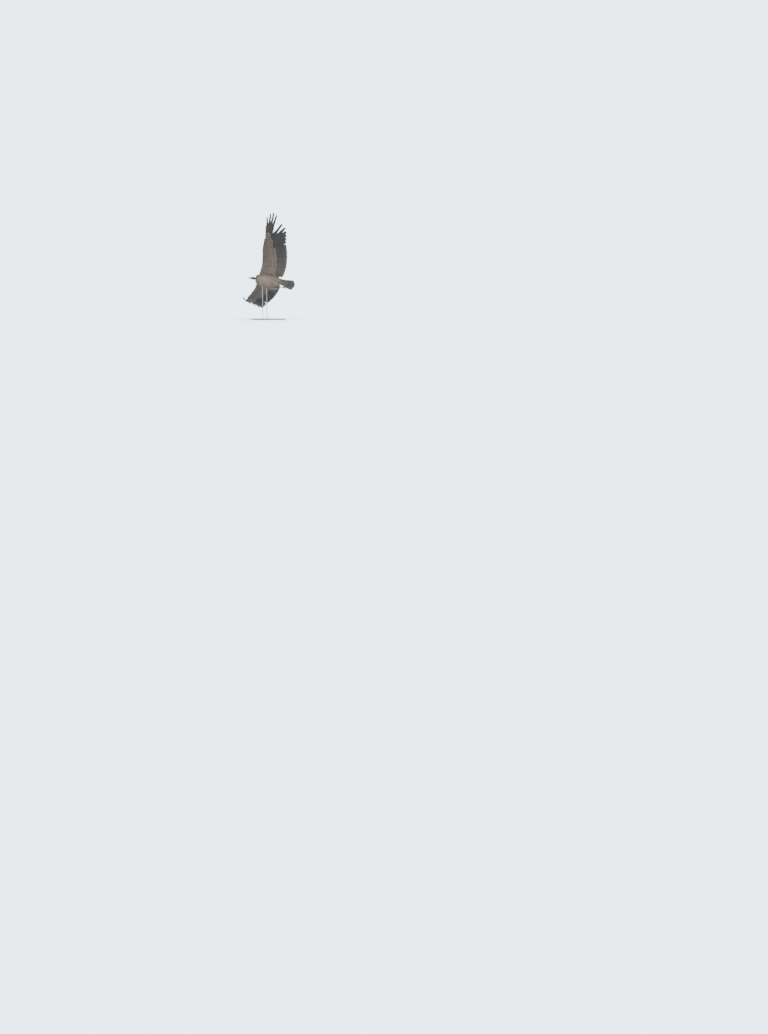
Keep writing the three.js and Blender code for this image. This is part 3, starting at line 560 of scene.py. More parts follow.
def primary_plan():
    """Roots and tips of the primaries, from the rear to the front."""
    i = np.arange(10)[:, None] / 9
    root = mix(np.array([PRIMARY_REAR], float), np.array([PRIMARY_FRONT], float), i)
    return root, np.array([t[:2] for t in TIPS], float)


def secondary_root(u):
    s = mix(SECONDARY_BASE[0], SECONDARY_BASE[1], u)
    return np.stack([leading_edge(s) - 0.5 * core_chord(s), s], -1)


def secondary_tip(u):
    s = mix(SECONDARY_TIP[0], SECONDARY_TIP[1], u**0.95)
    return np.stack([trailing_edge(s), s], -1)


def primary_outline(t):
    """Each primary's width along it: a blade that narrows past its middle to its finger's share."""
    finger = np.array([t[3] for t in TIPS], float)[:, None, None]
    narrowed = mix(1, finger, smooth((t - 0.48) / 0.19))
    return blade(0.38, 0.9, 0.12)(t) * narrowed * (1 - 0.24 * smooth((t - 0.62) / 0.38))


def flight_feathers(side, rng, secondaries):
    """The ten primaries, the secondaries, and three feathers of the alula of one wing."""
    at = wing_at(side)
    root, tip = primary_plan()
    widths = np.array([t[2] for t in TIPS], float) / 2
    curls = np.array([t[4] for t in TIPS], float)[:, None, None]
    options = {"patch": wing_patch, "thick": 0.9, "camber": 0.03}
    # The flight feathers darken towards the hand: partly their own colour, partly painted shade
    options["tone"] = lambda root: wing_tone_and_painted_shade(1)(root) - 0.1
    groups = [
        vanes(at, root, tip, widths, lambda p, q, t: curls * t * t, rng, rows=36, columns=9,
              outline=primary_outline, tilt=0.14, shaft=2.2, fray=0.002, bow=widths * 0.3, **options)
    ]
    u = np.arange(secondaries) / (secondaries - 1)
    tips = secondary_tip(u)
    tips[:, 0] += rng.uniform(-4, 4, secondaries)
    groups.append(
        vanes(at, secondary_root(u), tips, 31, lambda p, q, t: 0 * t, rng, rows=26, columns=9,
              outline=FLIGHT, tilt=0.1, shaft=1.8, fray=0.006, **options)
    )
    i = np.arange(3)
    s = WRIST + 8 + 12 * i
    start = np.stack([leading_edge(s) - 18 - 8 * i, s], -1)
    end_s = s + 150 - 24 * i
    end = np.stack([leading_edge(end_s) - 6 - 13 * i, end_s], -1)
    high = np.array([17, 14.5, 12])[:, None, None]
    options["tone"] = even_tone(ALULA_TONE)
    groups.append(
        vanes(at, start, end, np.array([17, 15, 13]), lambda p, q, t: 6 + (high - 6) * smooth(t * 3),
              rng, rows=16, columns=7, shaft=1.2, fray=0.01, outline=blade(0.3, 0.8), **options)
    )
    return groups


def small_coverts(side, face, rng, spacing):
    """Rows of small coverts over one face of the fleshy wing, from its leading edge back, each
    row set between the feathers of the one before."""
    at = wing_at(side)
    groups = []

    def lift(p, q, t):
        ahead = 3.5 * np.exp(-np.maximum(leading_edge(q) - p, 0) / 40)
        return face * (wing_flesh(p - ahead, q) - 1.6 + 3.4 * smooth(t * 1.4))

    row, behind = 0, -5.5
    while behind < 380:
        beside = spacing * (0.86 if row > 2 else 0.6)
        s = spread_rows(44, 880, beside, rng, 0.35) + (row % 2) * beside * 0.5
        s = s[behind < core_chord(s) * mix(1.05, 0.76, smooth((s - 90) / 60))]
        if len(s):
            grow = np.clip(behind / 150, 0, 1) ** 0.7
            length = mix(22, 54, grow) * rng.uniform(0.85, 1.15, len(s))
            x = leading_edge(s) - behind - rng.uniform(0, 0.5, len(s)) * spacing * min(row / 3, 1)
            lean = np.radians(feather_lean(s) * 0.85 + rng.uniform(-8, 8, len(s)))
            root = np.stack([x, s], -1)
            tip = root + np.stack([-np.cos(lean), np.sin(lean)], -1) * length[:, None]
            half = mix(8, 12.5, grow) * rng.uniform(0.85, 1.15, len(s))
            groups.append(
                vanes(at, root, tip, half, lift, rng, rows=7,
                      tilt=rng.uniform(-0.06, 0.1, len(s)) * face, thick=0.4, camber=0.04 * face,
                      bow=rng.uniform(-4, 4, len(s)), patch=wing_patch, fray=0.1, tone=wing_tone_and_painted_shade(face),
                      outline=blade(0.35, 0.6, 0.5 if row < 3 else 0.25))
            )
        behind += mix(0.45, 0.92, min(row / 6, 1)) * spacing
        row += 1
    if face > 0:
        groups.append(edge_coverts(at, rng, spacing * 0.13))
    return groups


def edge_coverts(at, rng, spacing):
    """Tiny feathers along the very front of the wing, which point outward. The front falls back
    from the leading edge by the chord times the square of height over twice the half."""
    s = spread_rows(46, 876, spacing, rng, 0.5)
    reach = 2 + 0.22 * core_half(s)
    root = np.stack([rng.uniform(-1, 1, len(s)) * reach, s], -1)
    tip = root + np.stack([rng.uniform(-2, 2, len(s)), rng.uniform(15, 22, len(s))], -1)

    def front(p, q, h):
        back = core_chord(q) * (p / (2 * (core_half(q) - WING_COAT))) ** 2
        return at(leading_edge(q) - np.minimum(back, 12) + 2.2 + h, q, p)

    def lift(p, q, t):
        return -1.5 + 2.4 * smooth(t * 1.5)

    return vanes(front, root, tip, mix(3, 5, s / 900), lift, rng, rows=5, columns=3, thick=0.4,
                 patch=wing_patch_of_edge, fray=0.1, tone=wing_tone_and_painted_shade(1))


def great_coverts(side, face, rng, secondaries):
    """The median and greater coverts over one face of the wing's flight feathers."""
    at = wing_at(side)
    u = (np.arange(secondaries + 3) + 0.2) / (secondaries + 2.4)
    base, end = secondary_root(u), secondary_tip(u)
    groups = []
    greater_reach, median_reach, hand_reach = COVERT_REACH[face]

    def greater(p, q, t):
        return face * np.maximum(wing_flesh(p, q) + 0.6, 7.5) * smooth(0.55 + t * 2) - 0.4 * face * t

    def median(p, q, t):
        return face * (np.maximum(wing_flesh(p, q) + 1.4, 9.2) * smooth(0.6 + t * 2) + 0.8 * t)

    options = {"rng": rng, "columns": 7, "thick": 0.5, "patch": wing_patch, "fray": 0.04,
               "tone": wing_tone_and_painted_shade(face), "outline": blade(0.35, 0.78)}
    groups.append(
        vanes(at, mix(base, end, 0.1), mix(base, end, greater_reach), 29, greater, rows=13,
              tilt=0.1 * face, shaft=0.9, camber=0.03 * face, **options)
    )
    more = np.linspace(0, 1, int(secondaries * 1.35))
    base, end = secondary_root(more), secondary_tip(more)
    groups.append(
        vanes(at, mix(base, end, 0.02), mix(base, end, median_reach), 23, median, rows=10,
              tilt=0.08 * face, shaft=0.6, camber=0.05 * face, **options)
    )
    root, tip = primary_plan()
    curls = np.array([t[4] for t in TIPS], float)[:, None, None]
    for share, wide, high in ((hand_reach, 33, 9), (hand_reach * 0.62, 27, 11)):
        start, stop = mix(root, tip, 0.01), mix(root, tip, share)

        def hand(p, q, t):
            rise = curls * (share * t) ** 2
            return rise + face * (3 + (np.maximum(wing_flesh(p, q), high) - 3) * smooth(t * 2.5))

        groups.append(
            vanes(at, start, stop, wide, hand, rows=11, tilt=0.14 * face, shaft=0.8,
                  camber=0.03 * face, **options)
        )
    return groups


def round_patch(low, high):
    """A map of roots on a form unrolled about its length: place along it, and angle round it."""
    return lambda r: np.stack([(r[:, 0] - low) / (high - low), (r[:, 1] / ARC / TURN) % 1], -1)


def body_feathers(rng, spacing, faces):
    """Contour feathers in rings round the torso, from its front back, each ring over the next,
    on the face (1 the back, -1 the belly) that is asked for."""
    groups = []

    def lift(p, q, t):
        return -COAT_DEPTH + 0.4 + 5.2 * smooth(t * 1.3)

    x = 206.0
    while x > -268:
        radius = 0.5 * (torso_half(x) + (torso_top(x) - torso_bottom(x)) / 2)
        count = int(TURN * radius / spacing)
        arc = ring_places(count, rng, 0.35)
        arc = arc[np.sign(np.sin(arc / ARC)) == faces]
        count = len(arc)
        size = float(mix(33, 54, smooth((206 - x) / 300)))
        length = size * rng.uniform(0.85, 1.15, count)
        root = np.stack([x + rng.uniform(-0.4, 0.4, count) * spacing, arc], -1)
        tip = root + np.stack([-length, rng.uniform(-8, 8, count)], -1)
        half = size * 0.29 / max(radius / ARC, 0.5) * rng.uniform(0.85, 1.15, count)
        groups.append(
            vanes(torso_at, root, tip, half, lift, rng, rows=8, thick=0.4, camber=0.05,
                  outline=BODY_VANE, tilt=rng.uniform(-0.05, 0.05, count), bow=rng.uniform(-5, 5, count),
                  patch=round_patch(-320, 240), fray=0.16,
                  tone=lambda r: 0.4 * smooth(0.5 + np.sin(r[:, 1] / ARC)))
        )
        x -= spacing * mix(0.6, 0.88, smooth((206 - x) / 120))
    return groups


def tail_feathers(rng):
    """Six pairs of tail feathers in a fan, then tiers of coverts above and below their roots."""
    groups = []

    def patch(r):
        return np.stack([(r[:, 0] + 620) / 420, 0.5 + r[:, 1] / 360], -1)

    for sign, base in ((1, 0.0), (-1, -5.0)):
        v = (np.arange(6) + 0.5) / 6
        angle = np.radians(TAIL_FAN * v)
        reach = mix(TAIL_LENGTH, TAIL_OUTER, v * v)
        root = np.stack([np.full(6, TAIL_BASE - 20.0), 30 * v], -1)
        tip = np.stack([TAIL_BASE - reach * np.cos(angle), 34 * v + reach * np.sin(angle)], -1)

        def at(x, y, h, sign=sign):
            return tail_at(x, sign * y, h)

        groups.append(
            vanes(at, root, tip, 30, lambda p, q, t, base=base: base + 0 * t, rng, rows=26, columns=7,
                  outline=blade(0.7, 0.9), tilt=0.12, thick=0.9, shaft=1.6, camber=0.02,
                  patch=patch, fray=0.006, tone=even_tone(TAIL_TONE))
        )
    for face in (1, -1):
        for tier, (start, length, wide, high) in enumerate(TAIL_TIERS):
            count = 11 + tier
            y = np.linspace(-46, 46, count) + rng.uniform(-2, 2, count)
            root = np.stack([np.full(count, float(start)), y], -1)
            long = length * (1 - 0.25 * (y / 50) ** 2) * rng.uniform(0.92, 1.08, count)
            tip = root + np.stack([-long, y * long / 190], -1)
            deep = high * (1.35 if face < 0 else 1)

            def lift(p, q, t, deep=deep, face=face):
                return face * (deep - 2 + 1.5 * t) - (2.5 if face < 0 else 0)

            groups.append(
                vanes(tail_at, root, tip, wide, lift, rng, rows=10, columns=7, thick=0.4, shaft=0.4,
                      camber=0.1 * face, patch=patch, fray=0.04, outline=blade(0.35, 0.72),
                      tone=even_tone(0.2 + 0.2 * face))
            )
    return groups


def ruff_locks(rng, around):
    """Tiers of thin soft tufts round the collar, from the neck out and back to the torso. The
    plan mixes a share t and an arc, so t is stretched to match."""
    stretch = 90.0
    groups = []
    for start in np.arange(-0.28, 1.2, 0.055):
        count = int(around * ruff_radius(start) / 86)
        arc = ring_places(count, rng, 0.5)
        uneven = mix(0.05, 0.16, smooth((start - 0.8) * 2.5))
        root = np.stack([(start + rng.uniform(-uneven, uneven, count)) * stretch, arc], -1)
        long = mix(0.22, 0.32, smooth(start + 0.3)) * rng.uniform(0.7, 1.25, count) * stretch
        tip = root + np.stack([long, rng.uniform(-11, 11, count)], -1)
        high = mix(1.5, 5, smooth((start + 0.2) * 1.6)) * (1 - 0.6 * smooth((start - 0.6) * 1.7))
        loose = (high + rng.uniform(-2.5, 3.5, count))[:, None, None]
        curl = rng.uniform(-1, 6, count)[:, None, None]

        def lift(p, q, t, loose=loose, curl=curl):
            return -9 + (9 + loose) * smooth(t * 1.6) - curl * t**3

        groups.append(
            vanes(lambda p, q, h: ruff_at(p / stretch, q, h), root, tip,
                  rng.uniform(0.9, 2.0, count), lift, rng, rows=5, columns=2, outline=DOWN,
                  tilt=rng.uniform(-0.7, 0.7, count), thick=0.7,
                  bow=rng.uniform(-12, 12, count), patch=round_patch(-0.3 * stretch, 1.6 * stretch))
        )
    return groups


def head_down(rng, spacing):
    """Sparse short down over the neck and the head, longer on the neck, thin on the face, and
    none on the eyes' surroundings, the mouth or the bill."""
    groups = []
    for x in np.arange(-118, 40, spacing):
        on_neck = smooth((-20 - x) / 45)
        count = int(TURN * 30 / mix(spacing * 1.3, spacing * 0.9, on_neck))
        a = (np.arange(count) + rng.uniform(-0.5, 0.5, count)) / count * TURN
        y, z, _ = head_oval(x, a)
        bare_place = (np.hypot(x - EYE_AT[0], z - EYE_AT[2]) < 14) & (np.abs(y) > 8)
        bare_place |= (np.abs(z - mouth_height(x)) < 5) & (x > 4)
        bare_place |= np.hypot(x - EAR_AT[0], z - EAR_AT[1]) < 5
        a = a[~bare_place]
        count = len(a)
        root = np.stack([x + rng.uniform(-0.5, 0.5, count) * spacing, a * ARC], -1)
        length = mix(3.2, 7.5, on_neck) * rng.uniform(0.7, 1.2, count)
        tip = root + np.stack([-length, rng.uniform(-5, 5, count) * 1.5], -1)
        rise = (mix(1.0, 2.2, on_neck) * rng.uniform(0.5, 1.3, count))[:, None, None]
        groups.append(
            vanes(head_at, root, tip, mix(1.0, 2.0, on_neck),
                  lambda p, q, t, rise=rise: -1.4 + (1.4 + rise) * t, rng, rows=4, columns=3,
                  outline=DOWN, thick=0.2, camber=0.1, patch=round_patch(-140, 60))
        )
    return groups


def thigh_path(sign):
    """The thigh's line from the belly to past the heel, and its radius along it."""
    heel, along = leg_frame(sign)
    points = [np.array([x, sign * y, z]) for x, y, z in THIGH] + [heel, heel + along * 26]
    line = evenly_through(*points)
    radii = through((0, 40), (0.2, 46), (0.4, 38), (0.6, 25), (0.8, 15.5), (0.9, 12.5), (1, 10))
    return line, radii


def thigh_feathers(sign, rng, spacing):
    """Feathers down the thigh to just past the heel."""
    line, radii = thigh_path(sign)
    span = 228.0
    groups = []

    def lift(p, q, t):
        return -3.5 + 3.6 * smooth(t * 1.4)

    place = -6.0
    while place < span * 0.86:
        radius = float(radii(max(place, 0) / span))
        count = int(TURN * radius / (spacing * 0.8))
        arc = ring_places(count, rng, 0.35)
        root = np.stack([place + rng.uniform(-4, 4, count), arc], -1)
        tip = root + np.stack([rng.uniform(28, 38, count), rng.uniform(-6, 6, count)], -1)
        groups.append(
            vanes(lambda p, q, h: carried(line, radii, np.clip(p / span, 0, 1.0), q, h), root, tip,
                  10.5 / max(radius / ARC, 0.2), lift, rng, rows=6, thick=0.4, camber=0.02,
                  outline=BODY_VANE, bow=rng.uniform(-4, 4, count) / max(radius / ARC, 0.2), fray=0.16,
                  patch=round_patch(0, span))
        )
        place += spacing * 0.75
    return groups


# Skin of the body, the head and the neck
def closed_forms():
    """The body's fleshy forms, each closed: torso, both wings to the end of the hand, both
    thighs, the core of the ruff and the tail's root. They overlap, and are made one skin after
    this."""
    arc = ring_angles(64) * ARC
    forms = [capped_tube(torso_at(np.linspace(-290, 200, 60)[:, None], arc, -COAT_DEPTH))]
    share = np.linspace(0, 1, 22) ** 1.6
    c = np.concatenate([share, share[-2:0:-1]])[None, :]
    face = np.concatenate([np.ones(22), -np.ones(20)])[None, :]
    s = np.linspace(40, 882, 96)[:, None]
    x = leading_edge(s) - c * core_chord(s)
    for side in SIDES.values():
        forms.append(capped_tube(wing_at(side)(x, s, face * np.maximum(wing_flesh(x, s), 0.6))))
    for sign in (1, -1):
        line, radii = thigh_path(sign)
        t = np.linspace(0.0, 1.0, 34)[:, None]
        forms.append(capped_tube(carried(line, radii, t, arc[:, ::2], -3.5)))
    forms.append(capped_tube(ruff_at(np.linspace(-0.3, 1.6, 44)[:, None], arc, -8.0)))
    x = np.linspace(-210, -345, 20)[:, None]
    half = through((-350, 30), (-300, 48), (-262, 56), (-210, 58))(x)
    deep = through((-350, 3), (-300, 16), (-262, 38), (-210, 48))(x)
    a = arc / ARC
    deep = np.where(np.sin(a) > 0, np.minimum(deep, 18), deep)
    forms.append(capped_tube(tail_at(x, half * np.cos(a), deep * np.sin(a))))
    return [(to_world(p), q) for p, q in forms]


def remeshed(forms, voxel, smoothing):
    """The forms joined and wrapped in one even closed skin, then smoothed, as points and faces."""
    points, quads = joined(forms)
    mesh = bpy.data.meshes.new("forms")
    mesh.from_pydata(points.tolist(), [], face_tuples(quads))
    mesh.update()
    form = bpy.data.objects.new("forms", mesh)
    bpy.context.scene.collection.objects.link(form)
    wrap = form.modifiers.new("wrap", "REMESH")
    wrap.mode, wrap.voxel_size = "VOXEL", voxel
    ease = form.modifiers.new("ease", "SMOOTH")
    ease.factor, ease.iterations = 0.5, smoothing
    done = form.evaluated_get(bpy.context.evaluated_depsgraph_get()).to_mesh()
    co = np.empty(len(done.vertices) * 3)
    done.vertices.foreach_get("co", co)
    total = np.empty(len(done.polygons), np.int32)
    start = np.empty(len(done.polygons), np.int32)
    index = np.empty(len(done.loops), np.int32)
    done.polygons.foreach_get("loop_total", total)
    done.polygons.foreach_get("loop_start", start)
    done.loops.foreach_get("vertex_index", index)
    quads = index[start[:, None] + np.minimum(np.arange(4)[None, :], total[:, None] - 1)]
    form.to_mesh_clear()
    bpy.data.objects.remove(form)
    return co.reshape(-1, 3), quads


def head_stations():
    """Rows for the neck and head from back to front: middle, side way, up way, half width, top,
    bottom, and how much the underside narrows."""
    rows = []
    for x, centre, radius in NECK_RINGS:
        rows.append((x, np.array([*centre, 0, 1, 0, -0.1, 0, 1, radius, radius, -radius, 0], float)))
    origin = in_head(0, 0, 0)
    for x in (-54, -44, -34, -23, -12, -2, 8, 16, 24, 33, 42, 50, 58):
        centre = in_head(x, 0, 0)
        side, up = in_head(0, 1, 0) - origin, in_head(0, 0, 1) - origin
        oval = [head_half(x), head_top(x), head_bottom(x), 0.18]
        rows.append((x, np.concatenate([centre, side, up, oval])))
    rows.append((66, np.concatenate([in_head(66, 0, 0), side, up, [11.6, 17.3, -10.6, 0.18]])))
    return through(*rows)


def ridge(phase):
    """Round ridges with sharp creases between them: one less the size of a sine, to the 0.7."""
    return np.abs(np.sin(phase)) ** 0.7


def mouth_height(x):
    """The line of the mouth, from its corner to the bill."""
    return mix(-7, -1.6, (x - 14) / 52)


def head_relief(x, y, z, a):
    """How far the head's skin stands in or out, in millimetres: the sum of bells for lids, brow,
    ear, lips and nostril, and of ridges for the folds of neck, throat and cheek."""
    off_side = smooth((np.abs(y) - 6) / 6)
    eye = np.sqrt(((x - EYE_AT[0]) / 1.14) ** 2 + (z - EYE_AT[2]) ** 2)
    lids = 1.7 * bump(eye - 7.6, 1.25) - 3.4 * bump(eye, 5.6) - 0.8 * bump(eye - 10.6, 1.0)
    lids = lids + 0.7 * bump(eye - 12.6, 1.2) - 0.4 * bump(eye - 14.6, 0.9)
    brow = 2.0 * bump(z - 18.6 + 0.06 * (x - 4), 2.6) * bump(x - 6, 15)
    ear = np.hypot(x - EAR_AT[0], z - EAR_AT[1])
    hearing = -4.4 * bump(ear, 2.9) + 0.7 * bump(ear - 5, 1.5)
    line = z - mouth_height(x)
    lips = (-1.9 * bump(line, 0.8) + 0.8 * bump(np.abs(line) - 2.1, 1.1)) * smooth((x - 11) / 5)
    mouth_end = np.hypot(x - MOUTH_CORNER[0], z - MOUTH_CORNER[1])
    corner = 1.2 * bump(mouth_end, 2.6) - 0.7 * bump(mouth_end - 5.2, 1.3)
    nose = ((x - 48.6) / 5.2) ** 2 + ((z - 8.2 + 0.08 * (x - 48)) / 1.9) ** 2
    nostril = -3.6 * np.exp(-(nose**1.4)) + 0.8 * np.exp(-((np.sqrt(nose) - 1.7) ** 2) / 0.12)
    relief = off_side * (lids + brow + hearing + lips + corner + nostril)
    neck = smooth((-16 - x) / 56)
    uneven = 0.7 * np.sin(2 * a + 0.4) + 0.35 * np.sin(5 * a + 1) + 0.3 * np.sin(9 * a)
    rings = ridge(x * 0.42 + uneven)
    relief = relief + neck * (1.7 * rings - 1.0) + 0.35 * neck * ridge(x * 1.15 + 1.1 * np.sin(3 * a))
    throat = smooth((-z - 6) / 14) * smooth((24 - x) / 20)
    relief = relief + throat * (0.9 * ridge(a * 9 + 0.5 * np.sin(x * 0.3)) - 0.5) * (1 - 0.6 * neck)
    relief = relief + throat * 2.2 * bump(y, 3.2) * smooth((x + 70) / 30)
    cheek = off_side * bump(z + 8, 10) * bump(x + 4, 26)
    relief = relief + cheek * (0.55 * ridge(0.42 * x + 0.5 * z + 1.3 * np.sin(0.17 * x)) - 0.3)
    crown = smooth((z - 14) / 10) * smooth((30 - x) / 20)
    relief = relief + crown * (0.45 * ridge(x * 0.5 + 0.6 * np.sin(y * 0.3)) - 0.2)
    cere = bump(x - 56, 3.2) - 1.2 * smooth((x - 58.5 - 2 * np.sin(a)) / 2.5)
    return relief + 0.5 * cere + 0.1 * np.sin(x * 1.9 + 2.1 * np.sin(a * 7)) * np.sin(a * 31 + x * 0.4)


def head_oval(x, a):
    """The head's or neck's outline across X at the angle a, in its own frame: a half width, a
    top and a bottom, narrowed below. Gives y, z and the way out from it."""
    row = head_stations()(x)
    half, top, bottom, narrow = (row[..., k] for k in (9, 10, 11, 12))
    y = half * np.cos(a) * np.where(np.sin(a) < 0, 1 - narrow * np.sin(a) ** 2, 1)
    z = (top + bottom) / 2 + (top - bottom) / 2 * np.sin(a)
    return y, z, unit(np.stack([np.cos(a) / half, np.sin(a) / ((top - bottom) / 2)], -1))


def head_at(x, arc, h):
    """The oval carried through the stations of neck and head, and h square to it."""
    x, arc, h = np.broadcast_arrays(np.asarray(x, float), np.asarray(arc, float), h)
    row = head_stations()(x)
    y, z, out = head_oval(x, arc / ARC)
    y, z = y + out[..., 0] * h, z + out[..., 1] * h
    return row[..., 0:3] + row[..., 3:6] * y[..., None] + row[..., 6:9] * z[..., None]


def head_skin():
    """The neck and head as one closed skin, pushed in and out by its relief. Its front rings run
    on over the root of the bill, furthest at the top."""
    xs = np.concatenate([np.linspace(-135, -50, 80, endpoint=False), np.linspace(-50, 57.8, 164)])
    xs = xs[:, None]
    a = ring_angles(168)
    xs = xs + smooth((xs - 50) / 7.8) * (2.6 + 2.2 * np.sin(a) + 0.5 * np.cos(4 * a))
    y, z, _ = head_oval(xs, a)
    points, quads = capped_tube(head_at(xs, a * ARC, head_relief(xs, y, z, a)))
    return to_world(points), quads


def bill_grid(xs, top, bottom, half, sides):
    """Rings across the bill: half width times the cosine, and a height whose lower half is
    the cube of the sine, so that the cutting edges are square."""
    a = ring_angles(sides)
    lift = np.sin(a)
    square = np.where(lift < 0, lift**3, lift)
    narrow = np.where(lift > 0, 1 - 0.12 * lift**4, 1)
    z = (top + bottom)[:, None] / 2 + ((top - bottom)[:, None] / 2) * square
    return to_world(in_head(xs[:, None], half[:, None] * np.cos(a) * narrow, z))


def upper_bill():
    """The hooked upper half, swollen in low rings near its root."""
    xs = np.concatenate([np.linspace(58.3, 92, 44, endpoint=False), np.linspace(92, 103, 30)])
    swell = 0.25 * np.sin(xs * 0.9) * smooth((80 - xs) / 14)
    top, half = bill_top(xs) + 0.2 * swell, bill_half(xs) + 0.2 * swell
    return capped_tube(bill_grid(xs, top, bill_edge(xs), half, 56))


def lower_bill():
    """The lower half, which closes below the upper one's cutting edge."""
    t = np.linspace(0, 1, 46)
    xs = mix(58.3, 88, t)
    top = bill_edge(np.minimum(xs, 84)) - 0.5 - 1.2 * t
    bottom = mix(-10.8, -7.4, t**1.5)
    half = mix(10.4, 3.4, t**1.4)
    return capped_tube(bill_grid(xs, top, bottom, half, 44))


def eyeball(sign):
    """A ball with a low clear bulge in front: rings about the eye's own axis, which points out
    from the head and a little forward."""
    centre = in_head(EYE_AT[0], sign * EYE_AT[1], EYE_AT[2])
    forward = unit(in_head(0.25, sign, 0.1) - in_head(0, 0, 0))
    side = unit(np.cross(forward, np.array([0.0, 0.0, 1.0])))
    up = np.cross(side, forward)
    polar = np.linspace(0.02, math.pi - 0.02, 48)[:, None]
    a = ring_angles(48)
    radius = (EYE_RADIUS + 0.15) * (1 + 0.05 * bump(polar, 0.55))
    shell = (
        forward * np.cos(polar)[..., None]
        + side * (np.sin(polar) * np.cos(a))[..., None]
        + up * (np.sin(polar) * np.sin(a))[..., None]
    )
    points, quads = capped_tube(centre + shell * radius[..., None])
    across = np.concatenate([np.broadcast_to(polar / math.pi, (48, 48)).ravel(), [0.0, 1.0]])
    around = np.concatenate([np.broadcast_to(a / TURN, (48, 48)).ravel(), [0.0, 0.0]])
    return to_world(points), quads, np.stack([across, around], -1)


# Legs and feet
def scale_relief(along, arc, size):
    """Round scales in a honeycomb: three cosines at 120 degrees summed, clipped flat on top."""
    k = TURN / size
    wave = (
        np.cos(k * along)
        + np.cos(k * (0.5 * along + 0.866 * arc))
        + np.cos(k * (0.5 * along - 0.866 * arc))
    )
    return np.clip(wave / 3 + 0.25, 0, 0.8)


def limb(path, radii, rows, sides, relief):
    """A closed limb: rings square to a path, whose radius also takes the relief at (t, angle)."""
    t = np.linspace(0, 1, rows)[:, None]
    a = ring_angles(sides)
    h = relief(t, a)
    return capped_tube(carried(path, radii, t, a * ARC, h))


def leg_frame(sign):
    """The heel, and the way from it to the foot."""
    heel = np.array([HEEL[0], sign * HEEL[1], HEEL[2]], float)
    foot = np.array([FOOT[0], sign * FOOT[1], FOOT[2]], float)
    return heel, unit(foot - heel)


def toe_path(sign, turn, length, drop):
    """Five places along a toe, from the foot's middle, which sags a little towards its end."""
    heel, along = leg_frame(sign)
    turn, drop = math.radians(turn), math.radians(drop)
    level = math.cos(drop)
    way = np.array([-math.cos(turn) * level, sign * math.sin(turn) * level, math.sin(drop)])
    t = np.linspace(0, 1, 5)
    points = heel + along * SHANK_LENGTH + way * (t * length)[:, None]
    points[:, 2] -= 6 * t * t
    return points


def leg_forms(sign):
    """The bare shank, with large scales in front and round ones behind, and the toes."""
    heel, along = leg_frame(sign)
    path = evenly_through(*[heel + along * d for d in (-10, 0, 40, 80, 116)])
    radii = evenly_through(8.6, 10.6, SHANK_RADIUS, SHANK_RADIUS, 11.6)

    def shank(t, a):
        front = smooth((-np.sin(a) - 0.1) * 3)
        plates = 0.7 * ridge(t * math.pi * 15) ** 0.5
        return mix(0.75 * scale_relief(t * 126, a * 9.5, 4.6), plates, front) - 0.4

    forms = [limb(path, radii, 190, 72, shank)]
    palm_path = evenly_through(*[heel + along * d for d in (106, SHANK_LENGTH, 138)])
    palm_radii = through((0, 7), (0.3, 11.8), (0.6, 12), (0.85, 8), (1, 3))

    def palm(t, a):
        return 0.8 * scale_relief(t * 32, a * 11, 3.8) - 0.4

    forms.append(limb(palm_path, palm_radii, 60, 72, palm))
    for _, turn, length, drop in TOES:
        points = toe_path(sign, turn, length, drop)
        path = evenly_through(*points)
        radii = evenly_through(7.8, 7.3, 6.3, 6.4, 4.4)

        def toe(t, a, length=length):
            top = smooth(np.sin(a) * 3)
            plates = 0.65 * ridge(t * math.pi * length / 5.6) ** 0.5
            pads = 0.9 * (bump(t - 0.42, 0.09) + bump(t - 0.72, 0.08) + bump(t - 0.95, 0.06))
            under = 0.6 * scale_relief(t * length, a * 6.5, 3.0) + pads * smooth(-np.sin(a) * 2)
            return mix(under, plates, top) - 0.4 - 2.2 * smooth((t - 0.97) / 0.03)

        forms.append(limb(path, radii, int(length * 1.5), 48, toe))
    points, quads = joined(forms)
    return to_world(points), quads


def claw_forms(sign):
    """Each toe's claw: a taper along a falling curve, grooved on both sides and flat below."""
    forms = []
    for _, turn, length, drop in TOES:
        points = toe_path(sign, turn, length, drop)
        onward = unit(points[-1] - points[-2])
        t = np.linspace(0, 1, 30)
        line = points[-1] + onward * (0.3 + 20 * np.sin(t * 1.25))[:, None]
        line[:, 2] -= 11 * t**2.2
        path = through(*[(k, p) for k, p in zip(t, line)])
        radii = evenly_through(4.1, 3.9, 3.4, 2.7, 1.7, 0.4)

        def groove(k, a):
            size = radii(k)
            flat = -0.22 * size * smooth(-np.sin(a) * 1.6)
            return flat - 0.10 * size * bump(np.abs(np.cos(a)) - 1, 0.05)

        forms.append(limb(path, radii, 36, 32, groove))
    points, quads = joined(forms)
    return to_world(points), quads


# Display stand
def rounded_plate(low, high, corner, rounding):
    """A plate with round corners: its outline is carried up a profile that turns in by a
    quarter circle at the top edge, and is closed by a middle point above and below."""
    n = 24
    quarter = np.linspace(0, math.pi / 2, n)
    centre, size = (low + high) / 2, (high - low) / 2
    rings = []
    for inset, z in [(0.001, low[2]), (0.0, low[2] + 0.001)] + [
        (rounding * (1 - math.cos(e)), high[2] - rounding + rounding * math.sin(e))
        for e in np.linspace(0, math.pi / 2, 7)
    ]:
        ring = []
        for k, (sx, sy) in enumerate(((1, 1), (-1, 1), (-1, -1), (1, -1))):
            a = quarter + k * math.pi / 2
            r = corner - inset
            ring.append(
                np.stack(
                    [
                        centre[0] + sx * (size[0] - corner) + r * np.cos(a),
                        centre[1] + sy * (size[1] - corner) + r * np.sin(a),
                        np.full(n, z),
                    ],
                    -1,
                )
            )
        rings.append(np.vstack(ring))
    return capped_tube(np.array(rings))


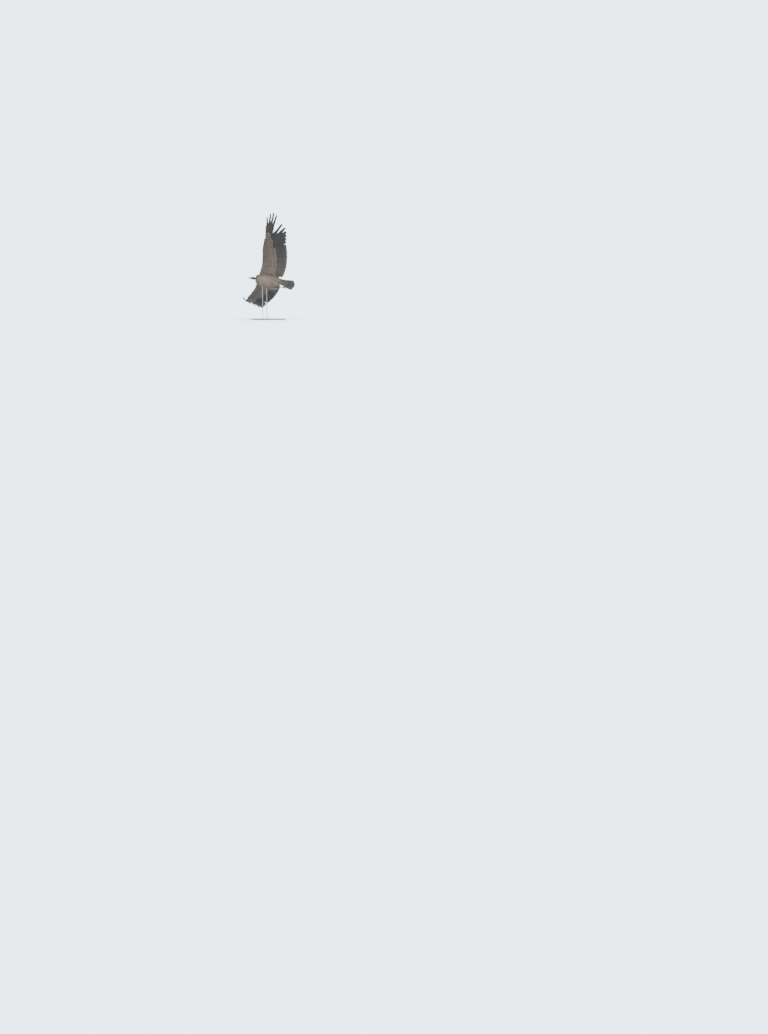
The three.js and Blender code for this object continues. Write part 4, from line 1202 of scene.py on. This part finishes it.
ROD_RADIUS = 0.0069
COLLAR = (
    # radius and height over the base, in metres, from the base up
    (0.0155, 0.0), (0.016, 0.0006), (0.016, 0.004), (0.0152, 0.0052),
    (0.0105, 0.0062), (0.0084, 0.0085), (ROD_RADIUS, 0.012),
)


def rod_form(forward):
    """A rod from the base up into the body, with a low turned collar at its foot."""
    sides = 48
    top = to_world(np.array([forward, 0.0, -70.0]))
    base = np.array(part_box("stand_base")[1])[2] + 0.0003
    heights = [(r, base + z) for r, z in COLLAR]
    heights += [(ROD_RADIUS, z) for z in np.linspace(base + 0.02, top[2], 12)]
    a = ring_angles(sides)[0]
    rings = [
        np.stack([top[0] + r * np.cos(a), top[1] + r * np.sin(a), np.full(sides, z)], -1)
        for r, z in heights
    ]
    return capped_tube(np.array(rings))


# Materials
def connect(tree, value, socket):
    """Links another node's output to the socket, or sets the socket to a plain value."""
    if isinstance(value, bpy.types.NodeSocket):
        tree.links.new(value, socket)
    else:
        socket.default_value = value


def add(tree, kind, settings=None, **inputs):
    """A shader node with its settings, whose named inputs take a value or another node's output."""
    node = tree.nodes.new(kind)
    for key, value in (settings or {}).items():
        setattr(node, key, value)
    for key, value in inputs.items():
        connect(tree, value, node.inputs[key])
    return node


def math_node(tree, operation, a, b=0.0):
    node = tree.nodes.new("ShaderNodeMath")
    node.operation = operation
    connect(tree, a, node.inputs[0])
    connect(tree, b, node.inputs[1])
    return node.outputs[0]


def times(tree, a, b):
    return math_node(tree, "MULTIPLY", a, b)


def plus(tree, a, b):
    return math_node(tree, "ADD", a, b)


def less(tree, a, b):
    return math_node(tree, "SUBTRACT", a, b)


def ranged(tree, value, low, high, to_low=0.0, to_high=1.0):
    """A value eased from one range to another and held at its ends."""
    node = tree.nodes.new("ShaderNodeMapRange")
    node.interpolation_type = "SMOOTHSTEP"
    values = {"Value": value, "From Min": low, "From Max": high, "To Min": to_low, "To Max": to_high}
    for name, given in values.items():
        connect(tree, given, node.inputs[name])
    return node.outputs["Result"]


def blend_colours(tree, factor, a, b, mode="MIX"):
    """The colour a going over to the colour b by the factor."""
    node = tree.nodes.new("ShaderNodeMix")
    node.data_type, node.blend_type = "RGBA", mode
    connect(tree, factor, node.inputs[0])
    for index, colour in ((6, a), (7, b)):
        plain = not isinstance(colour, bpy.types.NodeSocket)
        connect(tree, (*colour[:3], 1) if plain else colour, node.inputs[index])
    return node.outputs[2]


def dimmed(colour, share):
    return tuple(share * c for c in colour[:3])


def object_place(tree):
    """The place on the piece, in metres."""
    return tree.nodes.new("ShaderNodeTexCoord").outputs["Object"]


def stretched(tree, place, stretch):
    return add(tree, "ShaderNodeMapping", Vector=place, Scale=stretch).outputs[0]


def noise(tree, vector, scale, detail=4.0, roughness=0.55, distortion=0.0):
    inputs = {"Vector": vector, "Scale": scale, "Detail": detail, "Roughness": roughness}
    return add(tree, "ShaderNodeTexNoise", Distortion=distortion, **inputs).outputs["Fac"]


def cell_edges(tree, place, scale):
    """How far a place is from the border of its cell in a random honeycomb."""
    node = add(tree, "ShaderNodeTexVoronoi", {"feature": "DISTANCE_TO_EDGE"}, Vector=place, Scale=scale)
    return node.outputs["Distance"]


def finish_shader(tree, shader, colour, roughness, height=None, strength=0.0, distance=0.0, **values):
    """Gives the shader its colour, roughness and plain values, and a bump from a height."""
    connect(tree, colour, shader.inputs["Base Color"])
    connect(tree, roughness, shader.inputs["Roughness"])
    for name, value in values.items():
        shader.inputs[name.replace("_", " ")].default_value = value
    if height is not None:
        bumped = add(tree, "ShaderNodeBump", Strength=strength, Distance=distance, Height=height)
        tree.links.new(bumped.outputs[0], shader.inputs["Normal"])


def painted(paint):
    """Makes of a function that paints a node tree one that takes a name first and gives its
    material, which is painted only where no earlier piece has done so."""

    def material_of(name, *values):
        name = f"condor_{name}"
        material = bpy.data.materials.get(name)
        if material is None:
            material = bpy.data.materials.new(name)
            material.use_nodes = True
            paint(material.node_tree, material.node_tree.nodes["Principled BSDF"], *values)
        return material

    return material_of


def vane_pattern():
    """The markings of one feather, from its own map: U across from 0 to 1, V from root to tip.
    Barbs are fine streaks swept towards the tip, the shaft is a narrow line in the middle, and
    wear is a pale fringe round the tip and edges, ragged by the streaks."""
    if "vane_pattern" in bpy.data.node_groups:
        return bpy.data.node_groups["vane_pattern"]
    tree = bpy.data.node_groups.new("vane_pattern", "ShaderNodeTree")
    for name, value in (("Barbs", 40.0), ("Fringe", 0.3), ("Seed", 0.0)):
        made = tree.interface.new_socket(name=name, in_out="INPUT", socket_type="NodeSocketFloat")
        made.default_value = value
    for name in ("Streak", "Shaft", "Wear", "Height"):
        tree.interface.new_socket(name=name, in_out="OUTPUT", socket_type="NodeSocketFloat")
    given = tree.nodes.new("NodeGroupInput").outputs
    out = tree.nodes.new("NodeGroupOutput").inputs
    place = add(tree, "ShaderNodeUVMap", {"uv_map": "Vane"}).outputs[0]
    parts = add(tree, "ShaderNodeSeparateXYZ", Vector=place).outputs
    away = math_node(tree, "ABSOLUTE", less(tree, parts[0], 0.5))
    swept = less(tree, times(tree, parts[1], given["Barbs"]), times(tree, away, 14.0))
    lengthwise = plus(tree, times(tree, parts[0], 1.5), times(tree, given["Seed"], 37.0))
    streak_place = add(tree, "ShaderNodeCombineXYZ", X=lengthwise, Y=swept, Z=given["Seed"]).outputs[0]
    streaks = noise(tree, streak_place, 1.0, 3.0, 0.7)
    ragged = times(tree, less(tree, streaks, 0.5), 0.16)
    shaft = ranged(tree, away, 0.012, 0.035, 1.0, 0.0)
    side_wear = ranged(tree, plus(tree, away, ragged), 0.36, 0.5)
    tip_wear = ranged(tree, plus(tree, parts[1], ragged), 0.8, 1.0)
    wear = times(tree, math_node(tree, "MAXIMUM", side_wear, tip_wear), given["Fringe"])
    height = plus(tree, times(tree, streaks, 0.5), shaft)
    for name, made in (("Streak", streaks), ("Shaft", shaft), ("Wear", wear), ("Height", height)):
        tree.links.new(made, out[name])
    return tree


@painted
def feather_material(tree, shader, base, dark, deep, fringe_colour, fringe, barbs,
                     roughness=0.72, strength=0.35):
    """Feather colour: each feather has its own shade between base and dark, with broad patches
    over the body, goes to the deep colour by its depth, which on the wings is partly painted
    shade towards the hand, and streaks, shaft and worn fringe come from the vane pattern."""
    seed = add(tree, "ShaderNodeAttribute", {"attribute_name": "shade"}).outputs["Fac"]
    depth = add(tree, "ShaderNodeAttribute", {"attribute_name": "depth"}).outputs["Fac"]
    pattern = {"node_tree": vane_pattern()}
    made = add(tree, "ShaderNodeGroup", pattern, Barbs=barbs, Fringe=fringe, Seed=seed).outputs
    patches = noise(tree, object_place(tree), 7.0, 3.0, 0.5)
    tone = plus(tree, times(tree, seed, 0.4), times(tree, patches, 0.8))
    colour = blend_colours(tree, ranged(tree, tone, 0.2, 1.0), dark, base)
    # By depth the colour goes to the deep one; on the wings that darkening towards the hand is partly the
    # plumage's own and partly painted shade
    colour = blend_colours(tree, depth, colour, deep)
    streak = ranged(tree, made["Streak"], 0.3, 0.7, 0.8, 1.12)
    grey = add(tree, "ShaderNodeCombineXYZ", X=streak, Y=streak, Z=streak).outputs[0]
    colour = blend_colours(tree, 1.0, colour, grey, "MULTIPLY")
    wear = times(tree, made["Wear"], less(tree, 1.0, times(tree, depth, 0.7)))
    colour = blend_colours(tree, wear, colour, fringe_colour)
    colour = blend_colours(tree, times(tree, made["Shaft"], 0.14), colour, dimmed(deep, 0.5))
    rough = ranged(tree, made["Streak"], 0.2, 0.8, roughness - 0.12, roughness + 0.12)
    finish_shader(tree, shader, colour, rough, made["Height"], strength, 0.0006, Specular_IOR_Level=0.08)


@painted
def skin_material(tree, shader, base, dark, warm, scale=1.0):
    """Bare skin: broad blotches of three tones, with painted shade in the creases of a fine cell
    pattern, and pores and fine wrinkles as bump."""
    place = object_place(tree)
    blotch = noise(tree, place, 38.0 * scale, 5.0, 0.6)
    fine = noise(tree, place, 420.0 * scale, 4.0, 0.6)
    crease = ranged(tree, cell_edges(tree, place, 620.0 * scale), 0.0, 0.12)
    colour = blend_colours(tree, ranged(tree, blotch, 0.35, 0.68), dark, base)
    colour = blend_colours(tree, times(tree, ranged(tree, fine, 0.5, 0.75), 0.35), colour, warm)
    # Painted shade: the colour darkens in the sunken creases between the cells
    colour = blend_colours(tree, times(tree, less(tree, 1.0, crease), 0.5), colour, dimmed(dark, 0.5))
    rough = ranged(tree, fine, 0.3, 0.7, 0.48, 0.72)
    height = plus(tree, times(tree, crease, 0.6), fine)
    finish_shader(
        tree, shader, colour, rough, height, 0.5, 0.0005, Specular_IOR_Level=0.12,
        Subsurface_Weight=0.05, Subsurface_Radius=(0.004, 0.002, 0.001)
    )


@painted
def horn_material(tree, shader, base, pale, streak_scale=240.0, roughness=0.34):
    """Horn: fibres drawn out along its length, and darker clouds."""
    place = object_place(tree)
    fibre = noise(tree, stretched(tree, place, (1.0, 0.18, 1.0)), streak_scale * 2.2, 4.0, 0.6)
    cloud = noise(tree, place, 70.0, 3.0, 0.5)
    colour = blend_colours(tree, ranged(tree, fibre, 0.35, 0.75), base, pale)
    colour = blend_colours(tree, ranged(tree, cloud, 0.45, 0.75, 0.0, 0.6), colour, dimmed(base, 0.5))
    rough = ranged(tree, fibre, 0.3, 0.7, roughness - 0.08, roughness + 0.16)
    finish_shader(
        tree, shader, colour, rough, plus(tree, fibre, cloud), 0.25, 0.0004,
        Specular_IOR_Level=0.14, Coat_Weight=0.12, Coat_Roughness=0.25
    )


@painted
def scale_material(tree, shader, base, dark, dust):
    """Leg scales: greyish plates with painted shade in the sunken gaps between them, and pale specks of
    dust.
    """
    place = object_place(tree)
    cloud = noise(tree, place, 55.0, 4.0, 0.6)
    fine = noise(tree, place, 700.0, 3.0, 0.6)
    gap = ranged(tree, cell_edges(tree, place, 330.0), 0.0, 0.14, 1.0, 0.0)
    colour = blend_colours(tree, ranged(tree, cloud, 0.35, 0.7), dark, base)
    colour = blend_colours(tree, times(tree, ranged(tree, fine, 0.5, 0.8), 0.4), colour, dust)
    # Painted shade: the colour darkens in the sunken gaps between the scales
    colour = blend_colours(tree, times(tree, gap, 0.6), colour, dimmed(dark, 0.35))
    height = less(tree, times(tree, fine, 0.4), gap)
    rough = ranged(tree, fine, 0.3, 0.7, 0.5, 0.75)
    finish_shader(tree, shader, colour, rough, height, 0.4, 0.0004, Specular_IOR_Level=0.1)


@painted
def eye_material(tree, shader, iris, rim):
    """An eye drawn by the angle from its own axis: a black pupil, an iris with spokes that
    darkens at its edge, then the dark of the ball, all under a clear coat."""
    place = add(tree, "ShaderNodeUVMap", {"uv_map": "Vane"}).outputs[0]
    angle = add(tree, "ShaderNodeSeparateXYZ", Vector=place).outputs[0]
    spokes = noise(tree, stretched(tree, place, (6.0, 60.0, 1.0)), 1.0, 3.0, 0.6)
    colour = blend_colours(tree, spokes, rim, iris)
    colour = blend_colours(tree, ranged(tree, angle, 0.19, 0.245), colour, dimmed(rim, 0.2))
    colour = blend_colours(tree, ranged(tree, angle, 0.118, 0.132), (0.004, 0.004, 0.004), colour)
    finish_shader(
        tree, shader, colour, 0.12, Specular_IOR_Level=0.05,
        Coat_Weight=0.45, Coat_IOR=1.36, Coat_Roughness=0.02
    )


@painted
def wood_material(tree, shader, base, dark):
    """Stained wood: grain from a long stretched noise, with fine pores along it."""
    place = object_place(tree)
    grain = noise(tree, stretched(tree, place, (26.0, 1.0, 26.0)), 1.4, 6.0, 0.68, 0.8)
    pores = noise(tree, stretched(tree, place, (260.0, 9.0, 260.0)), 1.0, 2.0, 0.6)
    colour = blend_colours(tree, ranged(tree, grain, 0.32, 0.68), dark, base)
    colour = blend_colours(tree, ranged(tree, pores, 0.56, 0.7, 0.0, 0.55), colour, dimmed(dark, 0.35))
    rough = ranged(tree, pores, 0.3, 0.7, 0.3, 0.48)
    finish_shader(
        tree, shader, colour, rough, pores, 0.12, 0.0005,
        Specular_IOR_Level=0.3, Coat_Weight=0.12, Coat_Roughness=0.3
    )


@painted
def steel_material(tree, shader, base):
    """Brushed steel: fine scratches drawn out along the rod in the roughness and the bump."""
    place = object_place(tree)
    brushed = noise(tree, stretched(tree, place, (900.0, 900.0, 14.0)), 1.0, 3.0, 0.6)
    smudge = noise(tree, place, 30.0, 3.0, 0.5)
    colour = blend_colours(tree, ranged(tree, smudge, 0.4, 0.7, 0.0, 0.35), base, dimmed(base, 0.75))
    rough = ranged(tree, brushed, 0.3, 0.7, 0.26, 0.42)
    finish_shader(tree, shader, colour, rough, brushed, 0.08, 0.0002, Metallic=1.0)


@painted
def floor_material(tree, shader, colour):
    """A pale matt floor with a barely seen mottling."""
    mottle = noise(tree, object_place(tree), 0.6, 3.0, 0.5)
    shaded = blend_colours(tree, ranged(tree, mottle, 0.3, 0.7, 0.0, 0.04), colour, dimmed(colour, 0.9))
    finish_shader(tree, shader, shaded, 0.9, Specular_IOR_Level=0.1)


# What a user would change
def colour_property(name, description, default):
    return FloatVectorProperty(
        name=name, description=description, subtype="COLOR", size=3, min=0, max=1, default=default
    )


def length_property(name, description, default, low, high):
    return FloatProperty(
        name=name, description=description, default=default, min=low, max=high, unit="LENGTH"
    )


class CONDOR_PG_plumage(bpy.types.PropertyGroup):
    """Colours, counts and spacings of the feathers."""

    covert: colour_property(
        "Covert brown", "Colour of the small feathers of wings and body", (0.100, 0.071, 0.053)
    )
    covert_dark: colour_property("Covert dark", "Their darker shade", (0.049, 0.0345, 0.0255))
    # Out on the hand, the coverts' deep colour is partly their own and partly painted shade
    covert_deep_and_shade: colour_property(
        "Covert deep", "Their colour out on the hand", (0.0245, 0.0187, 0.0152)
    )
    flight: colour_property(
        "Flight feather", "Colour of the wing's long feathers and the tail", (0.080, 0.065, 0.055)
    )
    flight_dark: colour_property("Flight dark", "Their darker shade", (0.050, 0.040, 0.034))
    # Out on the hand, the flight feathers' deep colour is partly their own darker plumage and partly painted
    # shade; on the tail and alula it is their own
    flight_deep_and_shade: colour_property(
        "Flight deep", "Their colour out on the hand", (0.0115, 0.0098, 0.0091)
    )
    fringe: colour_property(
        "Worn fringe", "Pale colour of worn edges and tips", (0.21, 0.16, 0.115)
    )
    ruff: colour_property("Ruff", "Colour of the soft collar", (0.150, 0.109, 0.079))
    spacing: length_property(
        "Feather spacing", "Distance between rows of body feathers", 0.0145, 0.01, 0.04
    )
    covert_spacing: length_property(
        "Covert spacing", "Distance between rows of small wing coverts", 0.0155, 0.01, 0.04
    )
    secondaries: IntProperty(
        name="Secondaries", description="Long feathers along each arm", default=22, min=12, max=26
    )
    ruff_around: IntProperty(
        name="Ruff locks", description="Tufts in the widest tier of the ruff", default=245, min=20, max=300
    )
    down_spacing: length_property(
        "Down spacing", "Distance between tufts of down on the head", 0.0032, 0.002, 0.01
    )


class CONDOR_PG_bare(bpy.types.PropertyGroup):
    """Colours of bare skin, bill, eyes, legs and claws, and the skin's fineness."""

    face: colour_property(
        "Head skin", "Main colour of the bare head and neck", (0.042, 0.0305, 0.0245)
    )
    # The head's darker tone of the blotches; dimmed, it is also the painted shade in the skin's fine creases
    face_dark_and_crease_shade: colour_property("Head dark", "Colour in its folds", (0.020, 0.016, 0.015))
    face_warm: colour_property("Head warm", "Colour of its warmer flecks", (0.090, 0.058, 0.044))
    # Darkened past the skin's own colour so that it stands in for the feathers' shadow: partly skin colour,
    # partly painted shade
    under_skin: colour_property(
        "Skin under feathers", "Colour of the skin below the coat", (0.050, 0.037, 0.028)
    )
    bill: colour_property("Bill", "Colour of the bill", (0.0125, 0.0105, 0.0096))
    bill_pale: colour_property("Bill pale", "Paler fibres of the bill", (0.038, 0.031, 0.025))
    iris: colour_property("Iris", "Colour of the iris", (0.024, 0.009, 0.0038))
    scale: colour_property("Leg scale", "Colour of the legs' scales", (0.060, 0.052, 0.045))
    scale_dark: colour_property("Leg dark", "Darker scales", (0.030, 0.026, 0.023))
    voxel: length_property(
        "Skin fineness", "Size of the steps that the body's skin is made from", 0.005, 0.003, 0.02
    )


class CONDOR_PG_stand(bpy.types.PropertyGroup):
    """Colours of the display stand and of the stage."""

    wood: colour_property("Wood", "Stained wood of the base", (0.075, 0.045, 0.028))
    wood_dark: colour_property("Wood dark", "Its darker grain", (0.024, 0.014, 0.009))
    steel: colour_property("Steel", "Colour of the rods", (0.15, 0.152, 0.156))
    rounding: length_property(
        "Edge rounding", "Radius of the base's upper edge", 0.004, 0.001, 0.008
    )
    floor: colour_property("Floor", "Colour of the pale floor", (0.734, 0.772, 0.805))
    sky: colour_property("Surroundings", "Colour of the light all round", (0.76, 0.885, 1.0))
    brightness: FloatProperty(
        name="Brightness", description="Strength of the light all round", default=4.7, min=0, max=10
    )
    key: FloatProperty(
        name="Key light", description="Strength of the light from above", default=4.4, min=0, max=20
    )


def plumage():
    return bpy.context.scene.condor_plumage


def bare():
    return bpy.context.scene.condor_bare


def stand():
    return bpy.context.scene.condor_stand


def covert_material():
    look = plumage()
    colours = (look.covert, look.covert_dark, look.covert_deep_and_shade, look.fringe)
    return feather_material("covert_feather", *colours, 0.4, 130.0)


def flight_material():
    look = plumage()
    colours = (look.flight, look.flight_dark, look.flight_deep_and_shade, look.fringe)
    return feather_material("flight_feather", *colours, 0.2, 380.0, 0.6)


SKIN_SMOOTHING = 8
WING_SEED, BODY_SEED, TAIL_SEED, RUFF_SEED, DOWN_SEED = 40, 7, 11, 5, 6
DUST = (0.15, 0.145, 0.135)
CLAW, CLAW_PALE = (0.022, 0.020, 0.019), (0.07, 0.062, 0.055)
BOARD_CORNER = 0.04
RODS = (("front", 100.0), ("rear", 14.0))  # how far ahead of the bird's middle, in millimetres


# One operator for each piece or group of like pieces
class CONDOR_OT_skin(bpy.types.Operator):
    """Make the skin: body, wings and thighs in one, and neck and head in one that enters it"""

    bl_idname = "condor.skin"
    bl_label = "Skin"

    def execute(self, context):
        look = bare()
        body = remeshed(closed_forms(), look.voxel, SKIN_SMOOTHING)
        head = head_skin()
        points, quads = joined([body, head])
        # The skin under the coat, darkened as painted shadow of the feathers over it
        hidden = look.under_skin
        under = skin_material("under_skin", hidden, dimmed(hidden, 0.6), hidden, 0.5)
        face = skin_material("bare_skin", look.face, look.face_dark_and_crease_shade, look.face_warm)
        piece = make_piece("body_skin", points, quads, [under, face], "bare_skin")
        which = np.zeros(len(quads), np.int32)
        which[len(body[1]):] = 1
        piece.data.polygons.foreach_set("material_index", which)
        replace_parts(piece, "torso", "neck", "head", "leg_left_thigh", "leg_right_thigh")
        return {"FINISHED"}


class CONDOR_OT_wings(bpy.types.Operator):
    """Make the flight feathers and the coverts of both wings"""

    bl_idname = "condor.wings"
    bl_label = "Wing feathers"

    def execute(self, context):
        look = plumage()
        small, large = covert_material(), flight_material()
        for index, (tag, side) in enumerate(SIDES.items()):
            rng = np.random.default_rng(WING_SEED + index)
            groups = flight_feathers(side, rng, look.secondaries)
            piece = feather_piece(f"flight_feathers_{tag}", groups, large, "flight_feather")
            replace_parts(piece, *[f"wing_{tag}_{part}" for part in ("upper_arm", "forearm", "hand")])
            for face, word in ((1, "over"), (-1, "under")):
                groups = great_coverts(side, face, rng, look.secondaries)
                feather_piece(f"great_coverts_{word}_{tag}", groups, small, "body_feather")
                groups = small_coverts(side, face, rng, look.covert_spacing * 1000)
                feather_piece(f"small_coverts_{word}_{tag}", groups, small, "body_feather")
        return {"FINISHED"}


class CONDOR_OT_body_coat(bpy.types.Operator):
    """Make the contour feathers of the body and the thighs"""

    bl_idname = "condor.body_coat"
    bl_label = "Body feathers"

    def execute(self, context):
        look = plumage()
        material = covert_material()
        rng = np.random.default_rng(BODY_SEED)
        for face, word in ((1, "back"), (-1, "belly")):
            groups = body_feathers(rng, look.spacing * 1000, face)
            feather_piece(f"{word}_feathers", groups, material, "body_feather")
        for sign, tag in ((1, "left"), (-1, "right")):
            groups = thigh_feathers(sign, rng, look.spacing * 900)
            feather_piece(f"thigh_feathers_{tag}", groups, material, "body_feather")
        return {"FINISHED"}


class CONDOR_OT_tail(bpy.types.Operator):
    """Make the tail feathers and their coverts"""

    bl_idname = "condor.tail"
    bl_label = "Tail"

    def execute(self, context):
        groups = tail_feathers(np.random.default_rng(TAIL_SEED))
        feathers = feather_piece("tail_feathers", groups[:2], flight_material(), "flight_feather")
        feather_piece("tail_coverts", groups[2:], covert_material(), "body_feather")
        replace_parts(feathers, "tail")
        return {"FINISHED"}


class CONDOR_OT_ruff(bpy.types.Operator):
    """Make the soft collar round the base of the neck, and the short down on head and neck"""

    bl_idname = "condor.ruff"
    bl_label = "Ruff"

    def execute(self, context):
        look = plumage()
        colours = (look.ruff, dimmed(look.ruff, 0.6), look.covert_deep_and_shade, look.fringe)
        material = feather_material("ruff_down", *colours, 0.2, 14.0, 0.9, 0.5)
        locks = ruff_locks(np.random.default_rng(RUFF_SEED), look.ruff_around)
        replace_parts(feather_piece("ruff_locks", locks, material, "ruff_down"), "ruff")
        down = head_down(np.random.default_rng(DOWN_SEED), look.down_spacing * 1000)
        feather_piece("head_down", down, material, "ruff_down")
        return {"FINISHED"}


class CONDOR_OT_bill_and_eyes(bpy.types.Operator):
    """Make both halves of the bill and both eyes"""

    bl_idname = "condor.bill_and_eyes"
    bl_label = "Bill and eyes"

    def execute(self, context):
        look = bare()
        horn = horn_material("bill_horn", look.bill, look.bill_pale)
        for name, made in (("bill_upper", upper_bill()), ("bill_lower", lower_bill())):
            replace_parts(make_piece(f"{name}_horn", *made, horn, "bill"), name)
        eye = eye_material("eye", look.iris, dimmed(look.iris, 0.35))
        for sign, tag in ((1, "left"), (-1, "right")):
            points, quads, polar = eyeball(sign)
            ball = make_piece(f"eyeball_{tag}", points, quads, eye, "eye", vane_uv=polar)
            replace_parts(ball, f"eye_{tag}")
        return {"FINISHED"}


class CONDOR_OT_legs(bpy.types.Operator):
    """Make the scaled shanks and feet, and their claws"""

    bl_idname = "condor.legs"
    bl_label = "Legs and claws"

    def execute(self, context):
        look = bare()
        scales = scale_material("leg_scale", look.scale, look.scale_dark, DUST)
        horn = horn_material("claw_horn", CLAW, CLAW_PALE, 400.0, 0.3)
        for sign, tag in ((1, "left"), (-1, "right")):
            piece = make_piece(f"leg_{tag}_scaled", *leg_forms(sign), scales, "leg_scale")
            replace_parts(piece, f"leg_{tag}_shank", f"foot_{tag}")
            piece = make_piece(f"claws_{tag}", *claw_forms(sign), horn, "claw")
            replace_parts(piece, *[f"claw_{tag}_{toe[0]}" for toe in TOES])
        return {"FINISHED"}


class CONDOR_OT_stand(bpy.types.Operator):
    """Make the base and the two rods that hold the bird"""

    bl_idname = "condor.stand"
    bl_label = "Stand"

    def execute(self, context):
        look = stand()
        low, high = (np.array(v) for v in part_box("stand_base"))
        wood = wood_material("stained_wood", look.wood, look.wood_dark)
        steel = steel_material("brushed_steel", look.steel)
        board = rounded_plate(low, high, BOARD_CORNER, look.rounding)
        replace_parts(make_piece("base_board", *board, wood, "stand_base"), "stand_base")
        for tag, forward in RODS:
            rod = make_piece(f"rod_{tag}", *rod_form(forward), steel, "stand_rod")
            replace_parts(rod, f"stand_rod_{tag}")
        return {"FINISHED"}


# Stage
PHOTO_WIDTH, PHOTO_HEIGHT = 768, 1034
BIRD_PIXEL = (267, 279)  # where the middle of the bird stands in the photograph's frame
PIXELS_PER_METRE = 50.3
CAMERA_AZIMUTH = 78
LENS, SENSOR, CLIP_END = 50, 36, 1000
FLOOR_RADIUS, FLOOR_SIDES, FLOOR_RINGS = 800, 96, 12
LAMP_COLOUR = (1.0, 0.95, 0.88)
LAMPS = (
    # name, way to the lamp, spread in degrees, share of the key light's strength
    ("key", (1.0, -1.0, 1.15), 12, 1.0),
    ("back", (-0.9, 0.5, 1.1), 30, 0.4),
)


def camera_place():
    """The camera sees the bird level with itself, from the azimuth, at the distance where a
    metre takes its number of pixels, and looks past it so that it stands at its pixel."""
    focal = LENS / SENSOR * PHOTO_HEIGHT
    right, up = BIRD_PIXEL[0] - PHOTO_WIDTH / 2, PHOTO_HEIGHT / 2 - BIRD_PIXEL[1]
    off = Vector((right, up, -focal))
    distance = off.length / PIXELS_PER_METRE
    down = math.atan2(up, focal)
    level = math.hypot(up, focal)
    aside = math.atan2(right, level)
    azimuth = math.radians(CAMERA_AZIMUTH)
    target = Vector((0, 0, FLIGHT_HEIGHT / 1000))
    place = target + Vector((math.sin(azimuth), -math.cos(azimuth), 0)) * distance
    return place, math.pi / 2 - down, azimuth + aside


def floor_mesh():
    """A flat round floor at height 0, of rings that widen outward."""
    radius = np.geomspace(0.5, FLOOR_RADIUS, FLOOR_RINGS)[:, None]
    a = ring_angles(FLOOR_SIDES)
    rings = np.stack([radius * np.cos(a), radius * np.sin(a), 0 * radius * a], -1)
    points = np.vstack([rings.reshape(-1, 3), [[0.0, 0.0, 0.0]]])
    i = np.arange(FLOOR_SIDES)
    j = (i + 1) % FLOOR_SIDES
    middle = np.stack([np.full(FLOOR_SIDES, len(points) - 1), i, j, j], -1)
    quads = np.vstack([grid_quads(FLOOR_RINGS, FLOOR_SIDES, True)[:, ::-1], middle])
    mesh = bpy.data.meshes.new("floor")
    mesh.from_pydata(points.tolist(), [], face_tuples(quads))
    mesh.polygons.foreach_set("use_smooth", np.ones(len(quads), bool))
    return mesh


class CONDOR_OT_stage(bpy.types.Operator):
    """Make the floor, the lights and the camera"""

    bl_idname = "condor.stage"
    bl_label = "Stage"

    def execute(self, context):
        look = stand()
        scene = context.scene
        mesh = floor_mesh()
        mesh.materials.append(floor_material("pale_floor", look.floor))
        floor = bpy.data.objects.new("floor", mesh)
        scene.collection.objects.link(floor)

        world = bpy.data.worlds.new("surroundings")
        world.use_nodes = True
        background = world.node_tree.nodes["Background"].inputs
        background["Color"].default_value = (*look.sky, 1)
        background["Strength"].default_value = look.brightness
        scene.world = world
        for name, way, spread, share in LAMPS:
            light = bpy.data.lights.new(name, "SUN")
            light.angle, light.energy = math.radians(spread), look.key * share
            light.color = LAMP_COLOUR
            lamp = bpy.data.objects.new(name, light)
            scene.collection.objects.link(lamp)
            lamp.rotation_euler = (-Vector(way)).to_track_quat("-Z", "Y").to_euler()

        lens = bpy.data.cameras.new("camera")
        lens.lens, lens.sensor_width, lens.sensor_fit = LENS, SENSOR, "AUTO"
        lens.clip_end = CLIP_END
        camera = bpy.data.objects.new("camera", lens)
        scene.collection.objects.link(camera)
        place, tilt, turn = camera_place()
        camera.location = place
        camera.rotation_euler = (tilt, 0, turn)
        scene.camera = camera
        return {"FINISHED"}


OPERATORS = (
    CONDOR_OT_stage,
    CONDOR_OT_skin,
    CONDOR_OT_wings,
    CONDOR_OT_body_coat,
    CONDOR_OT_tail,
    CONDOR_OT_ruff,
    CONDOR_OT_bill_and_eyes,
    CONDOR_OT_legs,
    CONDOR_OT_stand,
)


class CONDOR_PT_parts(bpy.types.Panel):
    """Lists the parts of the condor and what may be changed in them"""

    bl_label = "Condor"
    bl_idname = "CONDOR_PT_parts"
    bl_space_type = "VIEW_3D"
    bl_region_type = "UI"
    bl_category = "Condor"

    def draw(self, context):
        for settings in (plumage(), bare(), stand()):
            box = self.layout.box()
            for name in settings.__annotations__:
                box.prop(settings, name)
        for operator in OPERATORS:
            self.layout.operator(operator.bl_idname)


CLASSES = (CONDOR_PG_plumage, CONDOR_PG_bare, CONDOR_PG_stand, *OPERATORS, CONDOR_PT_parts)


def register():
    for one in CLASSES:
        bpy.utils.register_class(one)
    bpy.types.Scene.condor_plumage = PointerProperty(type=CONDOR_PG_plumage)
    bpy.types.Scene.condor_bare = PointerProperty(type=CONDOR_PG_bare)
    bpy.types.Scene.condor_stand = PointerProperty(type=CONDOR_PG_stand)


def unregister():
    del bpy.types.Scene.condor_stand
    del bpy.types.Scene.condor_bare
    del bpy.types.Scene.condor_plumage
    for one in reversed(CLASSES):
        bpy.utils.unregister_class(one)


def main():
    """Register the classes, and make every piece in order."""
    register()
    for operator in OPERATORS:
        group_name, name = operator.bl_idname.split(".")
        getattr(getattr(bpy.ops, group_name), name)()


if __name__ == "__main__":
    main()
